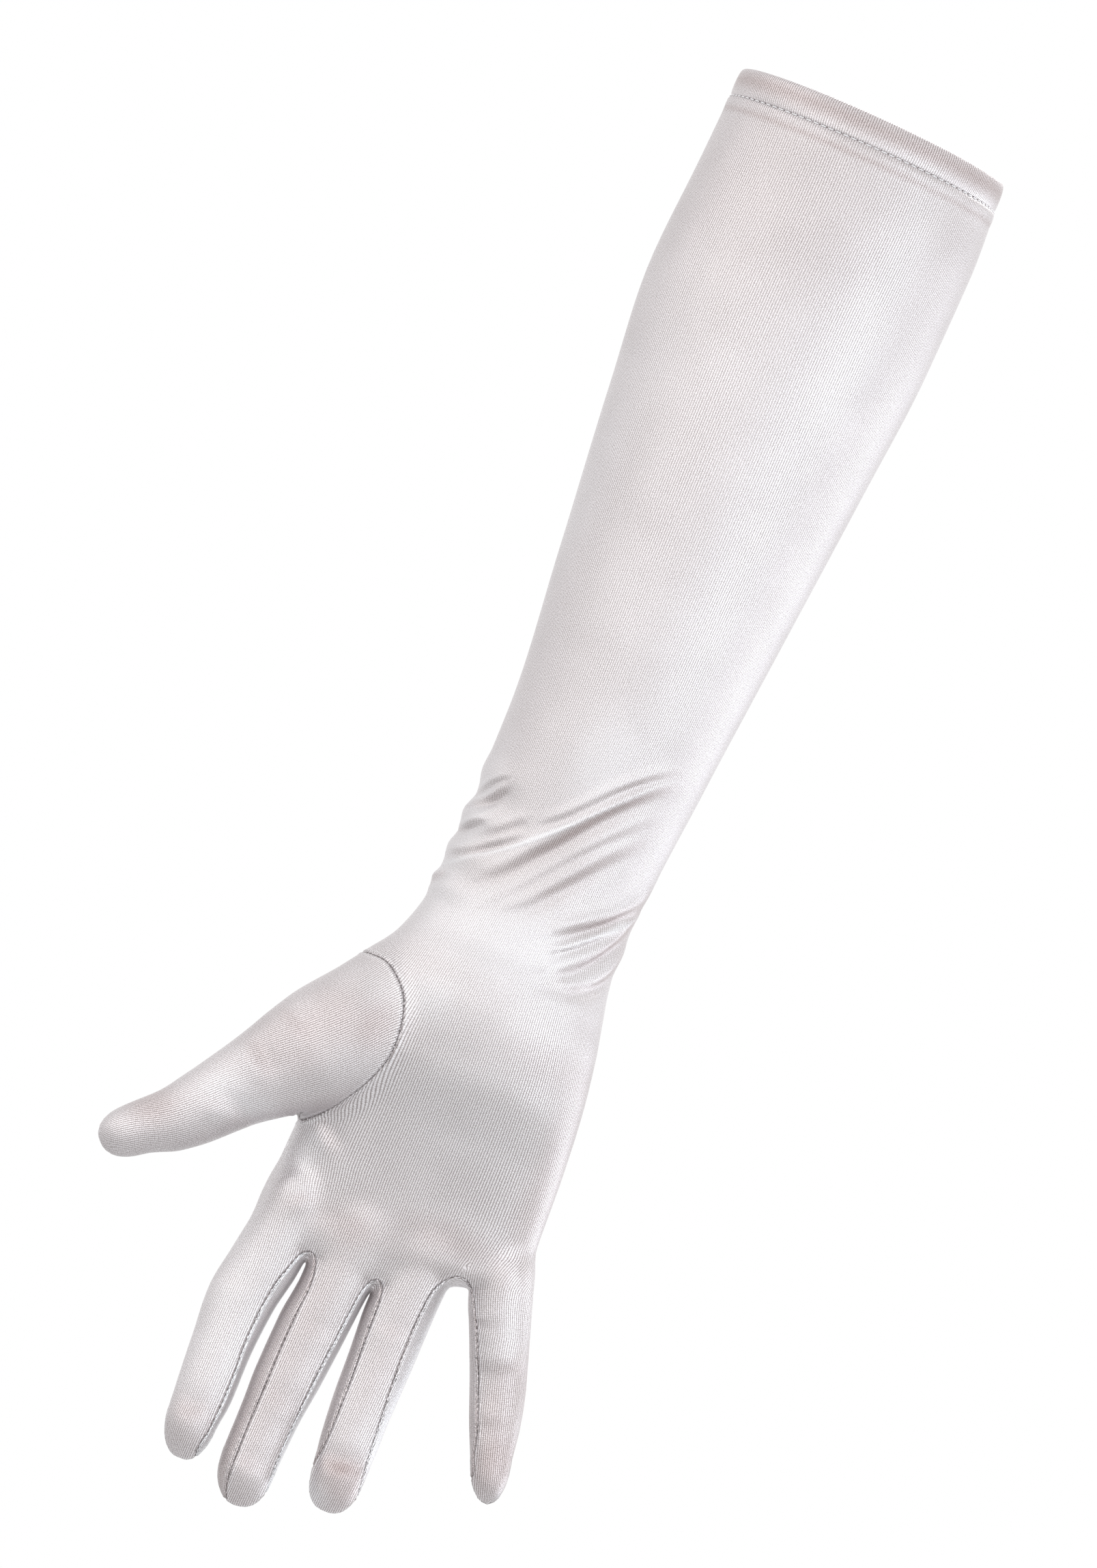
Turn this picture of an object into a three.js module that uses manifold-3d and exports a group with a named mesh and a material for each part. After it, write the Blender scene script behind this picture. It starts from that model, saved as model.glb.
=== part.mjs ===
// Long stretch satin glove for a right hand, in the form that it has when worn.
// Millimetres. +Z runs up the sleeve and out of its opening, the palm faces -Y,
// the thumb points to -X, and the origin is the middle of the arm opening.

import * as THREE from 'three';
import Module from 'manifold-3d';

const wasm = await Module();
wasm.setup();

// Driving dimensions
const CLOTH = 1.2;          // wall of the knitted cloth
const HEM_DEPTH = 9;        // height of the turned hem
const HEM_WALL = 2.0;       // the cloth lies double in the hem
const HEM_PUFF = 0.6;       // how far the hem rounds out over its stitch line
const SEAM_GAP = 0.3;       // clearance between two pieces along a seam
const FOLD_ROOM = 0.7;      // extra wall under the wrist folds, so that no fold cuts through
const OVERRUN = 4;          // tools and rough bodies run past the faces that they trim
const SLEEVE_SIDES = 38;    // corners of an outer sleeve section
const LINING_SIDES = 26;    // corners of an inner sleeve section
const FINGER_SIDES = 14;
const THUMB_SIDES = 22;
const FINGER_LINING_SIDES = 12;
const THUMB_LINING_SIDES = 16;
const FINGER_FULL = 2.15;   // a finger's section is a little fuller than an ellipse
const REACH = 70;           // cutting tools reach this far in front of and behind the hand

// Sleeve and palm, a row for each section: height, left and right edge, palm face,
// back face, and fullness (2 is an ellipse, more is nearer to a box)
const ARM = [
  { z: 0, left: -41.4, right: 42.4, front: -33, back: 33, full: 2 },
  { z: -30, left: -42.2, right: 44.5, front: -34, back: 34, full: 2 },
  { z: -60, left: -43.4, right: 44.3, front: -34, back: 34, full: 2 },
  { z: -100, left: -39.5, right: 41.7, front: -32, back: 33, full: 2 },
  { z: -150, left: -33.4, right: 38.0, front: -28, back: 30, full: 2.05 },
  { z: -200, left: -27.9, right: 34.3, front: -23.4, back: 26.5, full: 2.1 },
  { z: -240, left: -27.1, right: 32.0, front: -20.2, back: 24, full: 2.15 },
  { z: -262, left: -28.4, right: 32.7, front: -21.4, back: 22.4, full: 2.2 },
  { z: -272, left: -31.4, right: 34.8, front: -23.4, back: 21.4, full: 2.2 },
  { z: -282, left: -33.6, right: 37.2, front: -24.4, back: 20.2, full: 2.25 },
  { z: -300, left: -34.4, right: 40.4, front: -22.4, back: 18.6, full: 2.3 },
  { z: -320, left: -34.9, right: 42.6, front: -15.8, back: 17, full: 2.5 },
  { z: -340, left: -35.5, right: 44.1, front: -11.4, back: 16.2, full: 2.6 },
  { z: -354, left: -35.6, right: 46, front: -9.6, back: 14.6, full: 2.6 },
  { z: -358.6, left: -35.6, right: 31, front: -9.2, back: 12.6, full: 2.4 },
  { z: -362, left: -35, right: 23.5, front: -8.8, back: 11, full: 2.4 },
  { z: -366.5, left: -34, right: 22.5, front: -7.6, back: 9.4, full: 2.4 },
  { z: -369.4, left: -32, right: 21, front: -5, back: 6, full: 2.2 },
];
const ARM_TOP_ROWS = [-30, -50, -70, -90, -110, -130, -150, -168, -182];
const WRIST = { top: -192, bottom: -264, step: 3 };   // the folded stretch has close rows
const HAND_ROWS = [-272, -282, -292, -304, -316, -328, -340, -348, -354, -358.6, -362, -366.5, -369.4];
const LINING_ROWS = [8, -10, -35, -70, -110, -150, -185, -210, -235, -258, -275, -290, -305, -325,
  -345, -353, -356.8, -360, -365, -367.2];
const FOLDED = { bottom: -285, fullFrom: -262, fullTo: -200, top: -180 };   // stretch with FOLD_ROOM

// Folds of loose cloth across the wrist. Each runs from one end to the other, sagging
// between them, and stands high over a hollow that lies along its lower side
const FOLD = { runOn: 0.1, fade: 0.6, hollow: 0.5, hollowAt: 1.5 };
const PALM_FOLDS = [
  { x1: -28, z1: -247.5, x2: 26, z2: -194.5, sag: 3.4, high: 1.1, wide: 3.0 },
  { x1: -22, z1: -255.8, x2: 23, z2: -211.0, sag: 2.0, high: 1.3, wide: 3.2 },
  { x1: 9, z1: -259.5, x2: 31, z2: -237.0, sag: 0.5, high: 1.2, wide: 2.4 },
  { x1: 15, z1: -262.0, x2: 31, z2: -244.5, sag: 0, high: 0.9, wide: 2.2 },
];
const BACK_FOLDS = [
  { x1: -27, z1: -222.0, x2: 12, z2: -236.0, sag: 2.0, high: 0.9, wide: 3.2 },
  { x1: -24, z1: -240.0, x2: 24, z2: -249.0, sag: 2.5, high: 1.0, wide: 3.2 },
];

// Fingers. The sections stand square to a line that leaves its root and leans from straight
// down towards +X. A row gives the way along that line, the edge on either side of it, the
// depth of its middle (y) and its thickness there
const FINGERS = {
  index: {
    root: { x: 0, z: -345 }, lean: 0, tip: 92.8, tipSide: -27.6,
    rows: [
      { along: 5, left: -35.6, right: -16.4, y: 0.5, thick: 21 },
      { along: 17, left: -36.0, right: -16.2, y: 0.2, thick: 20 },
      { along: 30, left: -37.6, right: -16.9, y: -0.9, thick: 18.6 },
      { along: 44, left: -39.3, right: -19.1, y: -2.4, thick: 17.6 },
      { along: 58, left: -38.0, right: -19.8, y: -4.4, thick: 16.6 },
      { along: 72, left: -36.6, right: -19.4, y: -6.8, thick: 15.4 },
      { along: 82, left: -35.4, right: -20.2, y: -8.4, thick: 13.8 },
      { along: 87.6, left: -33.7, right: -21.5, y: -9.2, thick: 11 },
      { along: 91.4, left: -31.2, right: -23.6, y: -9.6, thick: 6.4 },
    ],
  },
  middle: {
    root: { x: 0, z: -345 }, lean: 0, tip: 98.6, tipSide: -6.8,
    rows: [
      { along: 5, left: -16.2, right: 5.1, y: 0.5, thick: 21.4 },
      { along: 17, left: -16.2, right: 5.2, y: 0.2, thick: 20.4 },
      { along: 30, left: -15.9, right: 4.2, y: -0.9, thick: 19 },
      { along: 44, left: -17.1, right: 3.4, y: -2.6, thick: 18 },
      { along: 58, left: -17.2, right: 2.4, y: -4.8, thick: 17 },
      { along: 72, left: -16.5, right: 1.1, y: -7.2, thick: 16 },
      { along: 85, left: -16.2, right: 0.7, y: -9.6, thick: 14.4 },
      { along: 92.6, left: -14.6, right: 0.1, y: -10.6, thick: 11.4 },
      { along: 97, left: -11.2, right: -2.8, y: -11, thick: 6.6 },
    ],
  },
  ring: {
    root: { x: 0, z: -345 }, lean: 0, tip: 89.8, tipSide: 17.6,
    rows: [
      { along: 5, left: 5.3, right: 25.4, y: 0.7, thick: 21 },
      { along: 17, left: 5.3, right: 24.7, y: 0.4, thick: 20 },
      { along: 30, left: 4.8, right: 24.8, y: -0.6, thick: 18.6 },
      { along: 44, left: 5.9, right: 25.0, y: -2.2, thick: 17.2 },
      { along: 58, left: 6.9, right: 25.0, y: -4.4, thick: 16.2 },
      { along: 70, left: 8.3, right: 25.4, y: -6.4, thick: 15.2 },
      { along: 80, left: 10.1, right: 25.4, y: -8, thick: 13.8 },
      { along: 86, left: 12.0, right: 24.0, y: -8.8, thick: 11 },
      { along: 88.8, left: 13.8, right: 22.0, y: -9.2, thick: 6.4 },
    ],
  },
  little: {
    root: { x: 36, z: -345 }, lean: 19.65, tip: 73.8, tipSide: 0.2,
    rows: [
      { along: 2, left: -10, right: 9.0, y: 1.2, thick: 19.4 },
      { along: 14, left: -9.8, right: 9.2, y: 0.8, thick: 18.6 },
      { along: 26, left: -8.6, right: 9.2, y: 0, thick: 17 },
      { along: 38, left: -7.6, right: 9.2, y: -0.8, thick: 15 },
      { along: 50, left: -6.9, right: 8.5, y: -2.8, thick: 14 },
      { along: 60, left: -6.0, right: 7.0, y: -4.6, thick: 12.4 },
      { along: 68, left: -5.0, right: 5.4, y: -5.8, thick: 10.2 },
      { along: 72, left: -2.9, right: 3.4, y: -6.4, thick: 6.2 },
    ],
  },
};

// The set-in thumb, on a line of its own that leans away from the hand
const THUMB = {
  root: { x: -38, z: -310 }, lean: -42.1, tip: 70.6, tipSide: 0.8,
  rows: [
    { along: -34, left: -17.5, right: 12, y: -3, thick: 24 },
    { along: -24, left: -19.2, right: 16, y: -5, thick: 31 },
    { along: -12, left: -17.9, right: 19, y: -6.6, thick: 33.6 },
    { along: 0, left: -16.8, right: 20, y: -7.6, thick: 32 },
    { along: 10, left: -14.6, right: 18, y: -8.4, thick: 28.6 },
    { along: 20, left: -11.8, right: 15.4, y: -9.4, thick: 25 },
    { along: 30, left: -9.6, right: 13.9, y: -10.4, thick: 22 },
    { along: 40, left: -7.7, right: 13.6, y: -11.4, thick: 20.4 },
    { along: 50, left: -6.3, right: 12.3, y: -12.4, thick: 18.6 },
    { along: 60, left: -6.6, right: 8.9, y: -13.4, thick: 16 },
    { along: 65.6, left: -6.1, right: 6.8, y: -14, thick: 13 },
    { along: 69.2, left: -3.6, right: 4.2, y: -14.4, thick: 7 },
  ],
};

// Seam of the thumb: round the ball of the thumb on the palm, and further out on the back
const THUMB_SEAM = {
  x: -43.2, z: -303.8, radius: 26.6, startX: 7.6, steps: 18, palmY: -22, backY: 20,
  shift: { x: -6, z: -6.7 },                      // from the palm to the back
  crotch: { x: -33, z: -331.6 }, gap: { x: -57, z: -400 },
  outer: { x: -130, bottom: -400, top: -250 }, shoulder: { x: -52, z: -250 },
};

// Side pieces between the fingers. Each has a seam on either finger, an arch over the web,
// and ends where both seams run out to the edge of the fingers
const FOURCHETTES = [
  {
    name: 'fourchette_index_middle', top: { x: -16.1, z: -367.6 }, below: { x: -18.5, z: -447 },
    ends: { left: { x: -21.2, z: -433.5 }, right: { x: -9.2, z: -445 } },
    seams: [
      { z: -369.4, left: -18.4, right: -14.0 },
      { z: -375, left: -20.2, right: -12.6 },
      { z: -384, left: -22.1, right: -12.6 },
      { z: -396, left: -22.7, right: -12.8 },
      { z: -410, left: -21.9, right: -12.4 },
      { z: -427, left: -21.7, right: -12.1 },
    ],
  },
  {
    name: 'fourchette_middle_ring', top: { x: 5.2, z: -367 }, below: { x: 5, z: -432 },
    ends: { left: { x: 0.8, z: -438 }, right: { x: 9.2, z: -424.5 } },
    seams: [
      { z: -368.8, left: 3.3, right: 7.0 },
      { z: -374, left: 1.9, right: 7.9 },
      { z: -384, left: 1.4, right: 8.7 },
      { z: -396, left: 0.4, right: 9.7 },
      { z: -408, left: 0, right: 10.2 },
      { z: -419, left: -0.2, right: 10.1 },
    ],
  },
  {
    name: 'fourchette_ring_little', top: { x: 27.4, z: -356.2 }, below: { x: 37, z: -415 },
    ends: { left: { x: 26.2, z: -428.5 }, right: { x: 49, z: -401.5 } },
    seams: [
      { z: -357.6, left: 24.5, right: 30.4 },
      { z: -362, left: 21.6, right: 33.5 },
      { z: -371, left: 20.6, right: 38.5 },
      { z: -382, left: 20.8, right: 43.7 },
      { z: -396, left: 21.7, right: 49.4 },
    ],
    leftTail: [{ x: 22.8, z: -405 }, { x: 24.1, z: -418 }],
  },
];

const SATIN = { color: 0xcfccd0, roughness: 0.42, metalness: 0.1 };

// Value of one column of a table at a place between its rows, on a smooth curve
function along(rows, key, place, column) {
  const last = rows.length - 1;
  const down = rows[0][key] > rows[last][key];
  let i = 0;
  while (i < last - 1 && (down ? place < rows[i + 1][key] : place > rows[i + 1][key])) i += 1;
  const at = (n) => rows[Math.min(Math.max(n, 0), last)];
  const span = at(i + 1)[key] - at(i)[key];
  const t = THREE.MathUtils.clamp((place - at(i)[key]) / span, 0, 1);
  const slope = (n) => {
    const [before, after] = [at(n - 1), at(n + 1)];
    return (after[column] - before[column]) / (after[key] - before[key]);
  };
  const [a, b] = [at(i)[column], at(i + 1)[column]];
  const [da, db] = [slope(i) * span, slope(i + 1) * span];
  const [t2, t3] = [t * t, t * t * t];
  return a * (2 * t3 - 3 * t2 + 1) + da * (t3 - 2 * t2 + t) + b * (3 * t2 - 2 * t3) + db * (t3 - t2);
}

// Point of a rounded section at an angle: sideways and in depth, as shares of its half sizes
function rounded(angle, full) {
  const bend = (v) => Math.sign(v) * Math.abs(v) ** (2 / full);
  return [bend(Math.cos(angle)), bend(Math.sin(angle))];
}

// Height that the folds add at a point of the wrist
function foldHeight(folds, x, z) {
  let height = 0;
  for (const f of folds) {
    const run = { x: f.x2 - f.x1, z: f.z2 - f.z1 };
    const length = Math.hypot(run.x, run.z);
    const t = ((x - f.x1) * run.x + (z - f.z1) * run.z) / length ** 2;
    if (t <= -FOLD.runOn || t >= 1 + FOLD.runOn) continue;
    const fade = Math.sin((Math.PI * (t + FOLD.runOn)) / (1 + 2 * FOLD.runOn)) ** FOLD.fade;
    const across = ((z - f.z1) * run.x - (x - f.x1) * run.z) / length + f.sag * 4 * t * (1 - t);
    const ridge = Math.exp(-((across / f.wide) ** 2));
    const hollow = FOLD.hollow * Math.exp(-((across / f.wide + FOLD.hollowAt) ** 2));
    height += f.high * fade * (ridge - hollow);
  }
  return height;
}

// One ring of points around the sleeve or palm, taken in by an inset
function armRing(z, sides, inset, folded) {
  const row = {};
  for (const column of ['left', 'right', 'front', 'back', 'full']) row[column] = along(ARM, 'z', z, column);
  const middle = { x: (row.left + row.right) / 2, y: (row.front + row.back) / 2 };
  const half = { x: (row.right - row.left) / 2 - inset, y: (row.back - row.front) / 2 - inset };
  const ring = [];
  for (let i = 0; i < sides; i += 1) {
    const angle = (2 * Math.PI * (i + 0.5)) / sides;
    const [u, v] = rounded(angle, row.full);
    const p = new THREE.Vector3(middle.x + u * half.x, middle.y + v * half.y, z);
    if (folded) {
      const rise = foldHeight(v < 0 ? PALM_FOLDS : BACK_FOLDS, p.x, z);
      p.x += u * rise;
      p.y += v * rise;
    }
    ring.push(p);
  }
  return ring;
}

// Rings of a finger or the thumb, taken in by an inset, and the point of its tip
function fingerRings(finger, sides, inset) {
  const lean = THREE.MathUtils.degToRad(finger.lean);
  const down = new THREE.Vector3(Math.sin(lean), 0, -Math.cos(lean));
  const across = new THREE.Vector3(Math.cos(lean), 0, Math.sin(lean));
  const place = (way, side, y) => new THREE.Vector3(finger.root.x, y, finger.root.z)
    .addScaledVector(down, way).addScaledVector(across, side);
  const end = finger.rows[finger.rows.length - 1];
  const shorter = (way) => (inset ? way * (1 - inset / finger.tip) : way);
  const rings = finger.rows.map((row) => {
    const middle = (row.left + row.right) / 2;
    const half = (row.right - row.left) / 2 - inset;
    const ring = [];
    for (let i = 0; i < sides; i += 1) {
      const [u, v] = rounded((2 * Math.PI * (i + 0.5)) / sides, FINGER_FULL);
      ring.push(place(shorter(row.along), middle + u * half, row.y + v * (row.thick / 2 - inset)));
    }
    return ring;
  });
  const first = finger.rows[0];
  const top = place(shorter(first.along), (first.left + first.right) / 2, first.y);
  return { rings, top, tip: place(shorter(finger.tip), finger.tipSide, end.y) };
}

// Closed solid through rings that follow one another downwards
function loft(rings, top, tip) {
  const sides = rings[0].length;
  const points = [...rings.flat(), top, tip];
  const [topAt, tipAt] = [points.length - 2, points.length - 1];
  const last = (rings.length - 1) * sides;
  const faces = [];
  for (let j = 0; j < sides; j += 1) {
    const next = (j + 1) % sides;
    faces.push(topAt, j, next, tipAt, last + next, last + j);
    for (let base = 0; base < last; base += sides) {
      const [a, b, c, d] = [base + j, base + next, base + sides + j, base + sides + next];
      faces.push(a, c, b, b, c, d);
    }
  }
  return solid(points, faces);
}

function solid(points, faces) {
  return new wasm.Manifold(new wasm.Mesh({
    numProp: 3,
    vertProperties: new Float32Array(points.flatMap((p) => [p.x, p.y, p.z])),
    triVerts: new Uint32Array(faces),
  }));
}

function middleOf(ring) {
  return ring.reduce((sum, p) => sum.add(p), new THREE.Vector3()).divideScalar(ring.length);
}

function armSolid(heights, sides, inset, folded) {
  const rings = heights.map((z) => armRing(z, sides, inset(z), folded));
  return loft(rings, middleOf(rings[0]), middleOf(rings[rings.length - 1]));
}

function fingerSolid(finger, sides, inset) {
  const { rings, top, tip } = fingerRings(finger, sides, inset);
  return loft(rings, top, tip);
}

function joined(solids) {
  return solids.reduce((all, next) => all.add(next));
}

// Cutting tool: an outline in the plane of the palm carried through from front to back.
// A shift moves the outline at the back, and a growth widens the tool all round
function cutter(outline, growth = 0, shift = () => ({ x: 0, z: 0 })) {
  const flat = outline.map((p) => new THREE.Vector2(p.x, p.z));
  if (THREE.ShapeUtils.area(flat) < 0) flat.reverse();
  const count = flat.length;
  const wide = flat.map((p, i) => {
    const way = flat[(i + 1) % count].clone().sub(flat[(i + count - 1) % count]).normalize();
    return { x: p.x + way.y * growth, z: p.y - way.x * growth };
  });
  const points = [-REACH, REACH].flatMap((y) => {
    const move = shift(y);
    return wide.map((p) => new THREE.Vector3(p.x + move.x, y, p.z + move.z));
  });
  const faces = [];
  for (const [a, b, c] of THREE.ShapeUtils.triangulateShape(flat, [])) {
    faces.push(a, b, c, a + count, c + count, b + count);
  }
  for (let i = 0; i < count; i += 1) {
    const next = (i + 1) % count;
    faces.push(i, i + count, next, next, i + count, next + count);
  }
  return solid(points, faces);
}

function thumbTool(growth) {
  const { x, z, radius, startX, steps, crotch, gap, outer, shoulder, palmY, backY, shift } = THUMB_SEAM;
  const from = Math.acos(startX / radius);
  const to = Math.atan2(crotch.z - z, crotch.x - x);
  const arc = [];
  for (let i = 0; i <= steps; i += 1) {
    const angle = from + ((to - from) * i) / steps;
    arc.push({ x: x + radius * Math.cos(angle), z: z + radius * Math.sin(angle) });
  }
  const outline = [...arc, gap, { x: outer.x, z: outer.bottom }, { x: outer.x, z: outer.top }, shoulder];
  const move = (y) => {
    const share = (y - palmY) / (backY - palmY);
    return { x: shift.x * share, z: shift.z * share };
  };
  return cutter(outline, growth, move);
}

function fourchetteTool(piece, growth) {
  const left = piece.seams.map((s) => ({ x: s.left, z: s.z }));
  const right = piece.seams.map((s) => ({ x: s.right, z: s.z }));
  const tail = piece.leftTail ?? [];
  const outline = [piece.ends.left, ...[...left, ...tail].reverse(), piece.top, ...right,
    piece.ends.right, piece.below];
  return cutter(outline, growth);
}

// A slab that takes everything above a height
function above(z) {
  const far = 300;          // well past every edge of the glove
  return cutter([{ x: -far, z }, { x: -far, z: far }, { x: far, z: far }, { x: far, z }]);
}

function sleeveHeights() {
  const wrist = [];
  for (let z = WRIST.top; z >= WRIST.bottom; z -= WRIST.step) wrist.push(z);
  return [OVERRUN, -OVERRUN, ...ARM_TOP_ROWS, ...wrist, ...HAND_ROWS];
}

// The whole glove as one hollow wall, before it is cut into its pieces
function gloveWall() {
  const outer = joined([
    armSolid(sleeveHeights(), SLEEVE_SIDES, () => 0, true),
    ...Object.values(FINGERS).map((finger) => fingerSolid(finger, FINGER_SIDES, 0)),
    fingerSolid(THUMB, THUMB_SIDES, 0),
  ]);
  const wristInset = (z) => CLOTH + FOLD_ROOM
    * THREE.MathUtils.smoothstep(z, FOLDED.bottom, FOLDED.fullFrom)
    * (1 - THREE.MathUtils.smoothstep(z, FOLDED.fullTo, FOLDED.top));
  const inner = joined([
    armSolid(LINING_ROWS, LINING_SIDES, wristInset, false),
    ...Object.values(FINGERS).map((finger) => fingerSolid(finger, FINGER_LINING_SIDES, CLOTH)),
    fingerSolid(THUMB, THUMB_LINING_SIDES, CLOTH),
  ]);
  return outer.subtract(inner);
}

// The hem is a ring of its own: round outside, straight inside
function hemRing() {
  const bulge = (share) => HEM_PUFF * Math.sin(Math.PI * share);
  const steps = 6;
  const rings = [];
  for (let i = 0; i <= steps; i += 1) {
    rings.push(armRing(-HEM_DEPTH * (i / steps), SLEEVE_SIDES, -bulge(i / steps), false));
  }
  const body = loft(rings, middleOf(rings[0]), middleOf(rings[steps]));
  const hollow = [OVERRUN, -HEM_DEPTH / 2, -HEM_DEPTH - OVERRUN]
    .map((z) => armRing(z, SLEEVE_SIDES, HEM_WALL, false));
  return body.subtract(loft(hollow, middleOf(hollow[0]), middleOf(hollow[2])));
}

function mesh(name, shape) {
  const { vertProperties, triVerts } = shape.getMesh();
  const geometry = new THREE.BufferGeometry();
  geometry.setAttribute('position', new THREE.BufferAttribute(vertProperties, 3));
  geometry.setIndex(new THREE.BufferAttribute(triVerts, 1));
  geometry.computeVertexNormals();
  const piece = new THREE.Mesh(geometry, new THREE.MeshStandardMaterial(SATIN));
  piece.name = name;
  return piece;
}

const wall = gloveWall();

let trank = wall.subtract(above(-HEM_DEPTH - SEAM_GAP)).subtract(thumbTool(SEAM_GAP));
for (const piece of FOURCHETTES) trank = trank.subtract(fourchetteTool(piece, SEAM_GAP));

const glove = new THREE.Group();
glove.name = 'glove';
glove.add(mesh('hem', hemRing()));
glove.add(mesh('trank', trank));
glove.add(mesh('thumb', wall.intersect(thumbTool(0))));
for (const piece of FOURCHETTES) glove.add(mesh(piece.name, wall.intersect(fourchetteTool(piece, 0))));

export default glove;
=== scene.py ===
import math

import bpy
import numpy as np
from mathutils import Matrix, Vector
from mathutils.kdtree import KDTree


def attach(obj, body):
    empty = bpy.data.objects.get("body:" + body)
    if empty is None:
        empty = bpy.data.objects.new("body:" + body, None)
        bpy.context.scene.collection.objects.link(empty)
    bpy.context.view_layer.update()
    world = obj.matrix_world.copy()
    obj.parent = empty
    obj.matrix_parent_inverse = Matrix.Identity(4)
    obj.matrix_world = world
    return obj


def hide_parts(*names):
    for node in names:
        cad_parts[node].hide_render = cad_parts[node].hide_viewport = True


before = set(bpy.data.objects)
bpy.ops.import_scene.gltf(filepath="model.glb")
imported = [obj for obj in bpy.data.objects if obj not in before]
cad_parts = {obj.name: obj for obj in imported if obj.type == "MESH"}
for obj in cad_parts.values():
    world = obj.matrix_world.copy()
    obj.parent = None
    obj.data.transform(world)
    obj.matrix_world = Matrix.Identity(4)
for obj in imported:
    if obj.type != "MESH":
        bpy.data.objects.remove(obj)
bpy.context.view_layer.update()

BODY = "root"

# Trank: the one cloth of silver stretch satin that makes the sleeve, the palm, the back and the
# fronts, backs and tips of the fingers. It is cut with its ribs running lengthwise, sewn inside
# out and turned, so its edges roll in at every seam, and the arm inside gives it its form.

MM = 0.001
CLOTH = 0.55             # thickness of the satin
SIDE_STEP = 1.75         # spacing of the surface points, across and in depth
SLEEVE_STEP = 4.4        # and down the smooth sleeve
HAND_STEP = 1.7          # and down the wrist and hand
SLIM = 1.0               # the first net is this much slimmer, so that close fingers stay apart


def table(names, rows):
    """Short table with named columns, sorted by its first one."""
    columns = np.array(sorted(rows), float).T
    return dict(zip(names.split(), columns))


# Sections of the sleeve and palm: height, left and right edge, palm face, back face, and
# fullness, where 2 is an ellipse and more is nearer to a box
ARM = table("z left right front back full", [
    (0, -41.4, 42.4, -33, 33, 2), (-30, -42.2, 44.5, -34, 34, 2),
    (-60, -43.4, 44.3, -34, 34, 2), (-100, -39.5, 41.7, -32, 33, 2),
    (-150, -33.4, 38.0, -28, 30, 2.05), (-200, -27.9, 34.3, -23.4, 26.5, 2.1),
    (-240, -27.1, 32.0, -20.2, 24, 2.15), (-262, -28.4, 32.7, -21.4, 22.4, 2.2),
    (-272, -31.4, 34.8, -23.4, 21.4, 2.2), (-282, -33.6, 37.2, -24.4, 20.2, 2.25),
    (-300, -34.4, 40.4, -22.4, 18.6, 2.3), (-320, -34.9, 42.6, -15.8, 17, 2.5),
    (-340, -35.5, 44.1, -11.4, 16.2, 2.6), (-354, -35.6, 46, -9.6, 14.6, 2.6),
    (-358.6, -35.6, 31, -9.2, 12.6, 2.4), (-362, -35, 23.5, -8.8, 11, 2.4),
    (-366.5, -34, 22.5, -7.6, 9.4, 2.4), (-369.4, -32, 21, -5, 6, 2.2),
])
WEB = -369.6             # the web between the fingers ends here

# Fingers, each on a line from its root that leans from straight down to +X. A row gives the way
# along it, the edge on either side, the depth of the middle and the thickness
FINGER_COLUMNS = "way left right depth thick"
FINGERS = {
    "index": dict(root=(0, -345), lean=0, tip=92.8, dome=11.6, blunt=2.35, rows=table(FINGER_COLUMNS, [
        (5, -35.6, -16.4, 0.5, 21), (17, -36.0, -16.2, 0.2, 20), (30, -37.6, -16.9, -0.9, 18.6),
        (44, -39.3, -19.1, -2.4, 17.6), (58, -38.0, -19.8, -4.4, 16.6),
        (72, -36.6, -19.4, -6.8, 15.4), (82, -35.4, -20.2, -8.4, 14.2), (94, -33.6, -20.2, -9.8, 13)])),
    "middle": dict(root=(0, -345), lean=0, tip=98.6, dome=12, blunt=2.3, rows=table(FINGER_COLUMNS, [
        (5, -16.2, 5.1, 0.5, 21.4), (17, -16.2, 5.2, 0.2, 20.4), (30, -15.9, 4.2, -0.9, 19),
        (44, -17.1, 3.4, -2.6, 18), (58, -17.2, 2.4, -4.8, 17), (72, -16.5, 1.1, -7.2, 16),
        (85, -16.1, 0.8, -9.6, 14.8), (100, -14.2, 1.6, -11.2, 13.4)])),
    "ring": dict(root=(0, -345), lean=0, tip=89.8, dome=10.6, blunt=2.7, rows=table(FINGER_COLUMNS, [
        (5, 5.3, 25.4, 0.7, 21), (17, 5.3, 24.7, 0.4, 20), (30, 4.8, 24.8, -0.6, 18.6),
        (44, 5.9, 25.0, -2.2, 17.2), (58, 6.9, 25.0, -4.4, 16.2), (70, 8.3, 25.4, -6.4, 15.2),
        (80, 10.0, 25.5, -8, 14), (91, 11.5, 24.8, -9.4, 12.8)])),
    "little": dict(root=(36, -345), lean=19.65, tip=73.3, dome=10.2, blunt=2.2, rows=table(
        FINGER_COLUMNS, [
        (2, -10, 9.0, 1.2, 19.4), (14, -9.8, 9.2, 0.8, 18.6), (26, -8.6, 9.2, 0, 17),
        (38, -7.6, 9.2, -0.8, 15), (50, -6.8, 8.4, -2.8, 14), (60, -5.7, 6.7, -4.6, 12.6),
        (75, -4.4, 5.0, -6.8, 11)])),
}
THUMB = dict(root=(-38, -310), lean=-42.1, tip=70.6, dome=10, blunt=2.4, rows=table(FINGER_COLUMNS, [
    (-34, -17.5, 12, -3, 24), (-24, -19.2, 16, -5, 31), (-12, -17.9, 19, -6.6, 33.6),
    (0, -16.8, 20, -7.6, 32), (10, -14.6, 18, -8.4, 28.6), (20, -11.8, 15.4, -9.4, 25),
    (30, -9.6, 13.9, -10.4, 22), (40, -7.7, 13.6, -11.4, 20.4), (50, -6.3, 12.3, -12.4, 18.6),
    (60, -6.6, 8.9, -13.4, 16), (72, -6.4, 7.2, -14.4, 14)]))
ROOT_DOME = 12.0
FINGER_FULL = 2.15       # fullness of the fingers' sections, as for the sleeve
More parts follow.
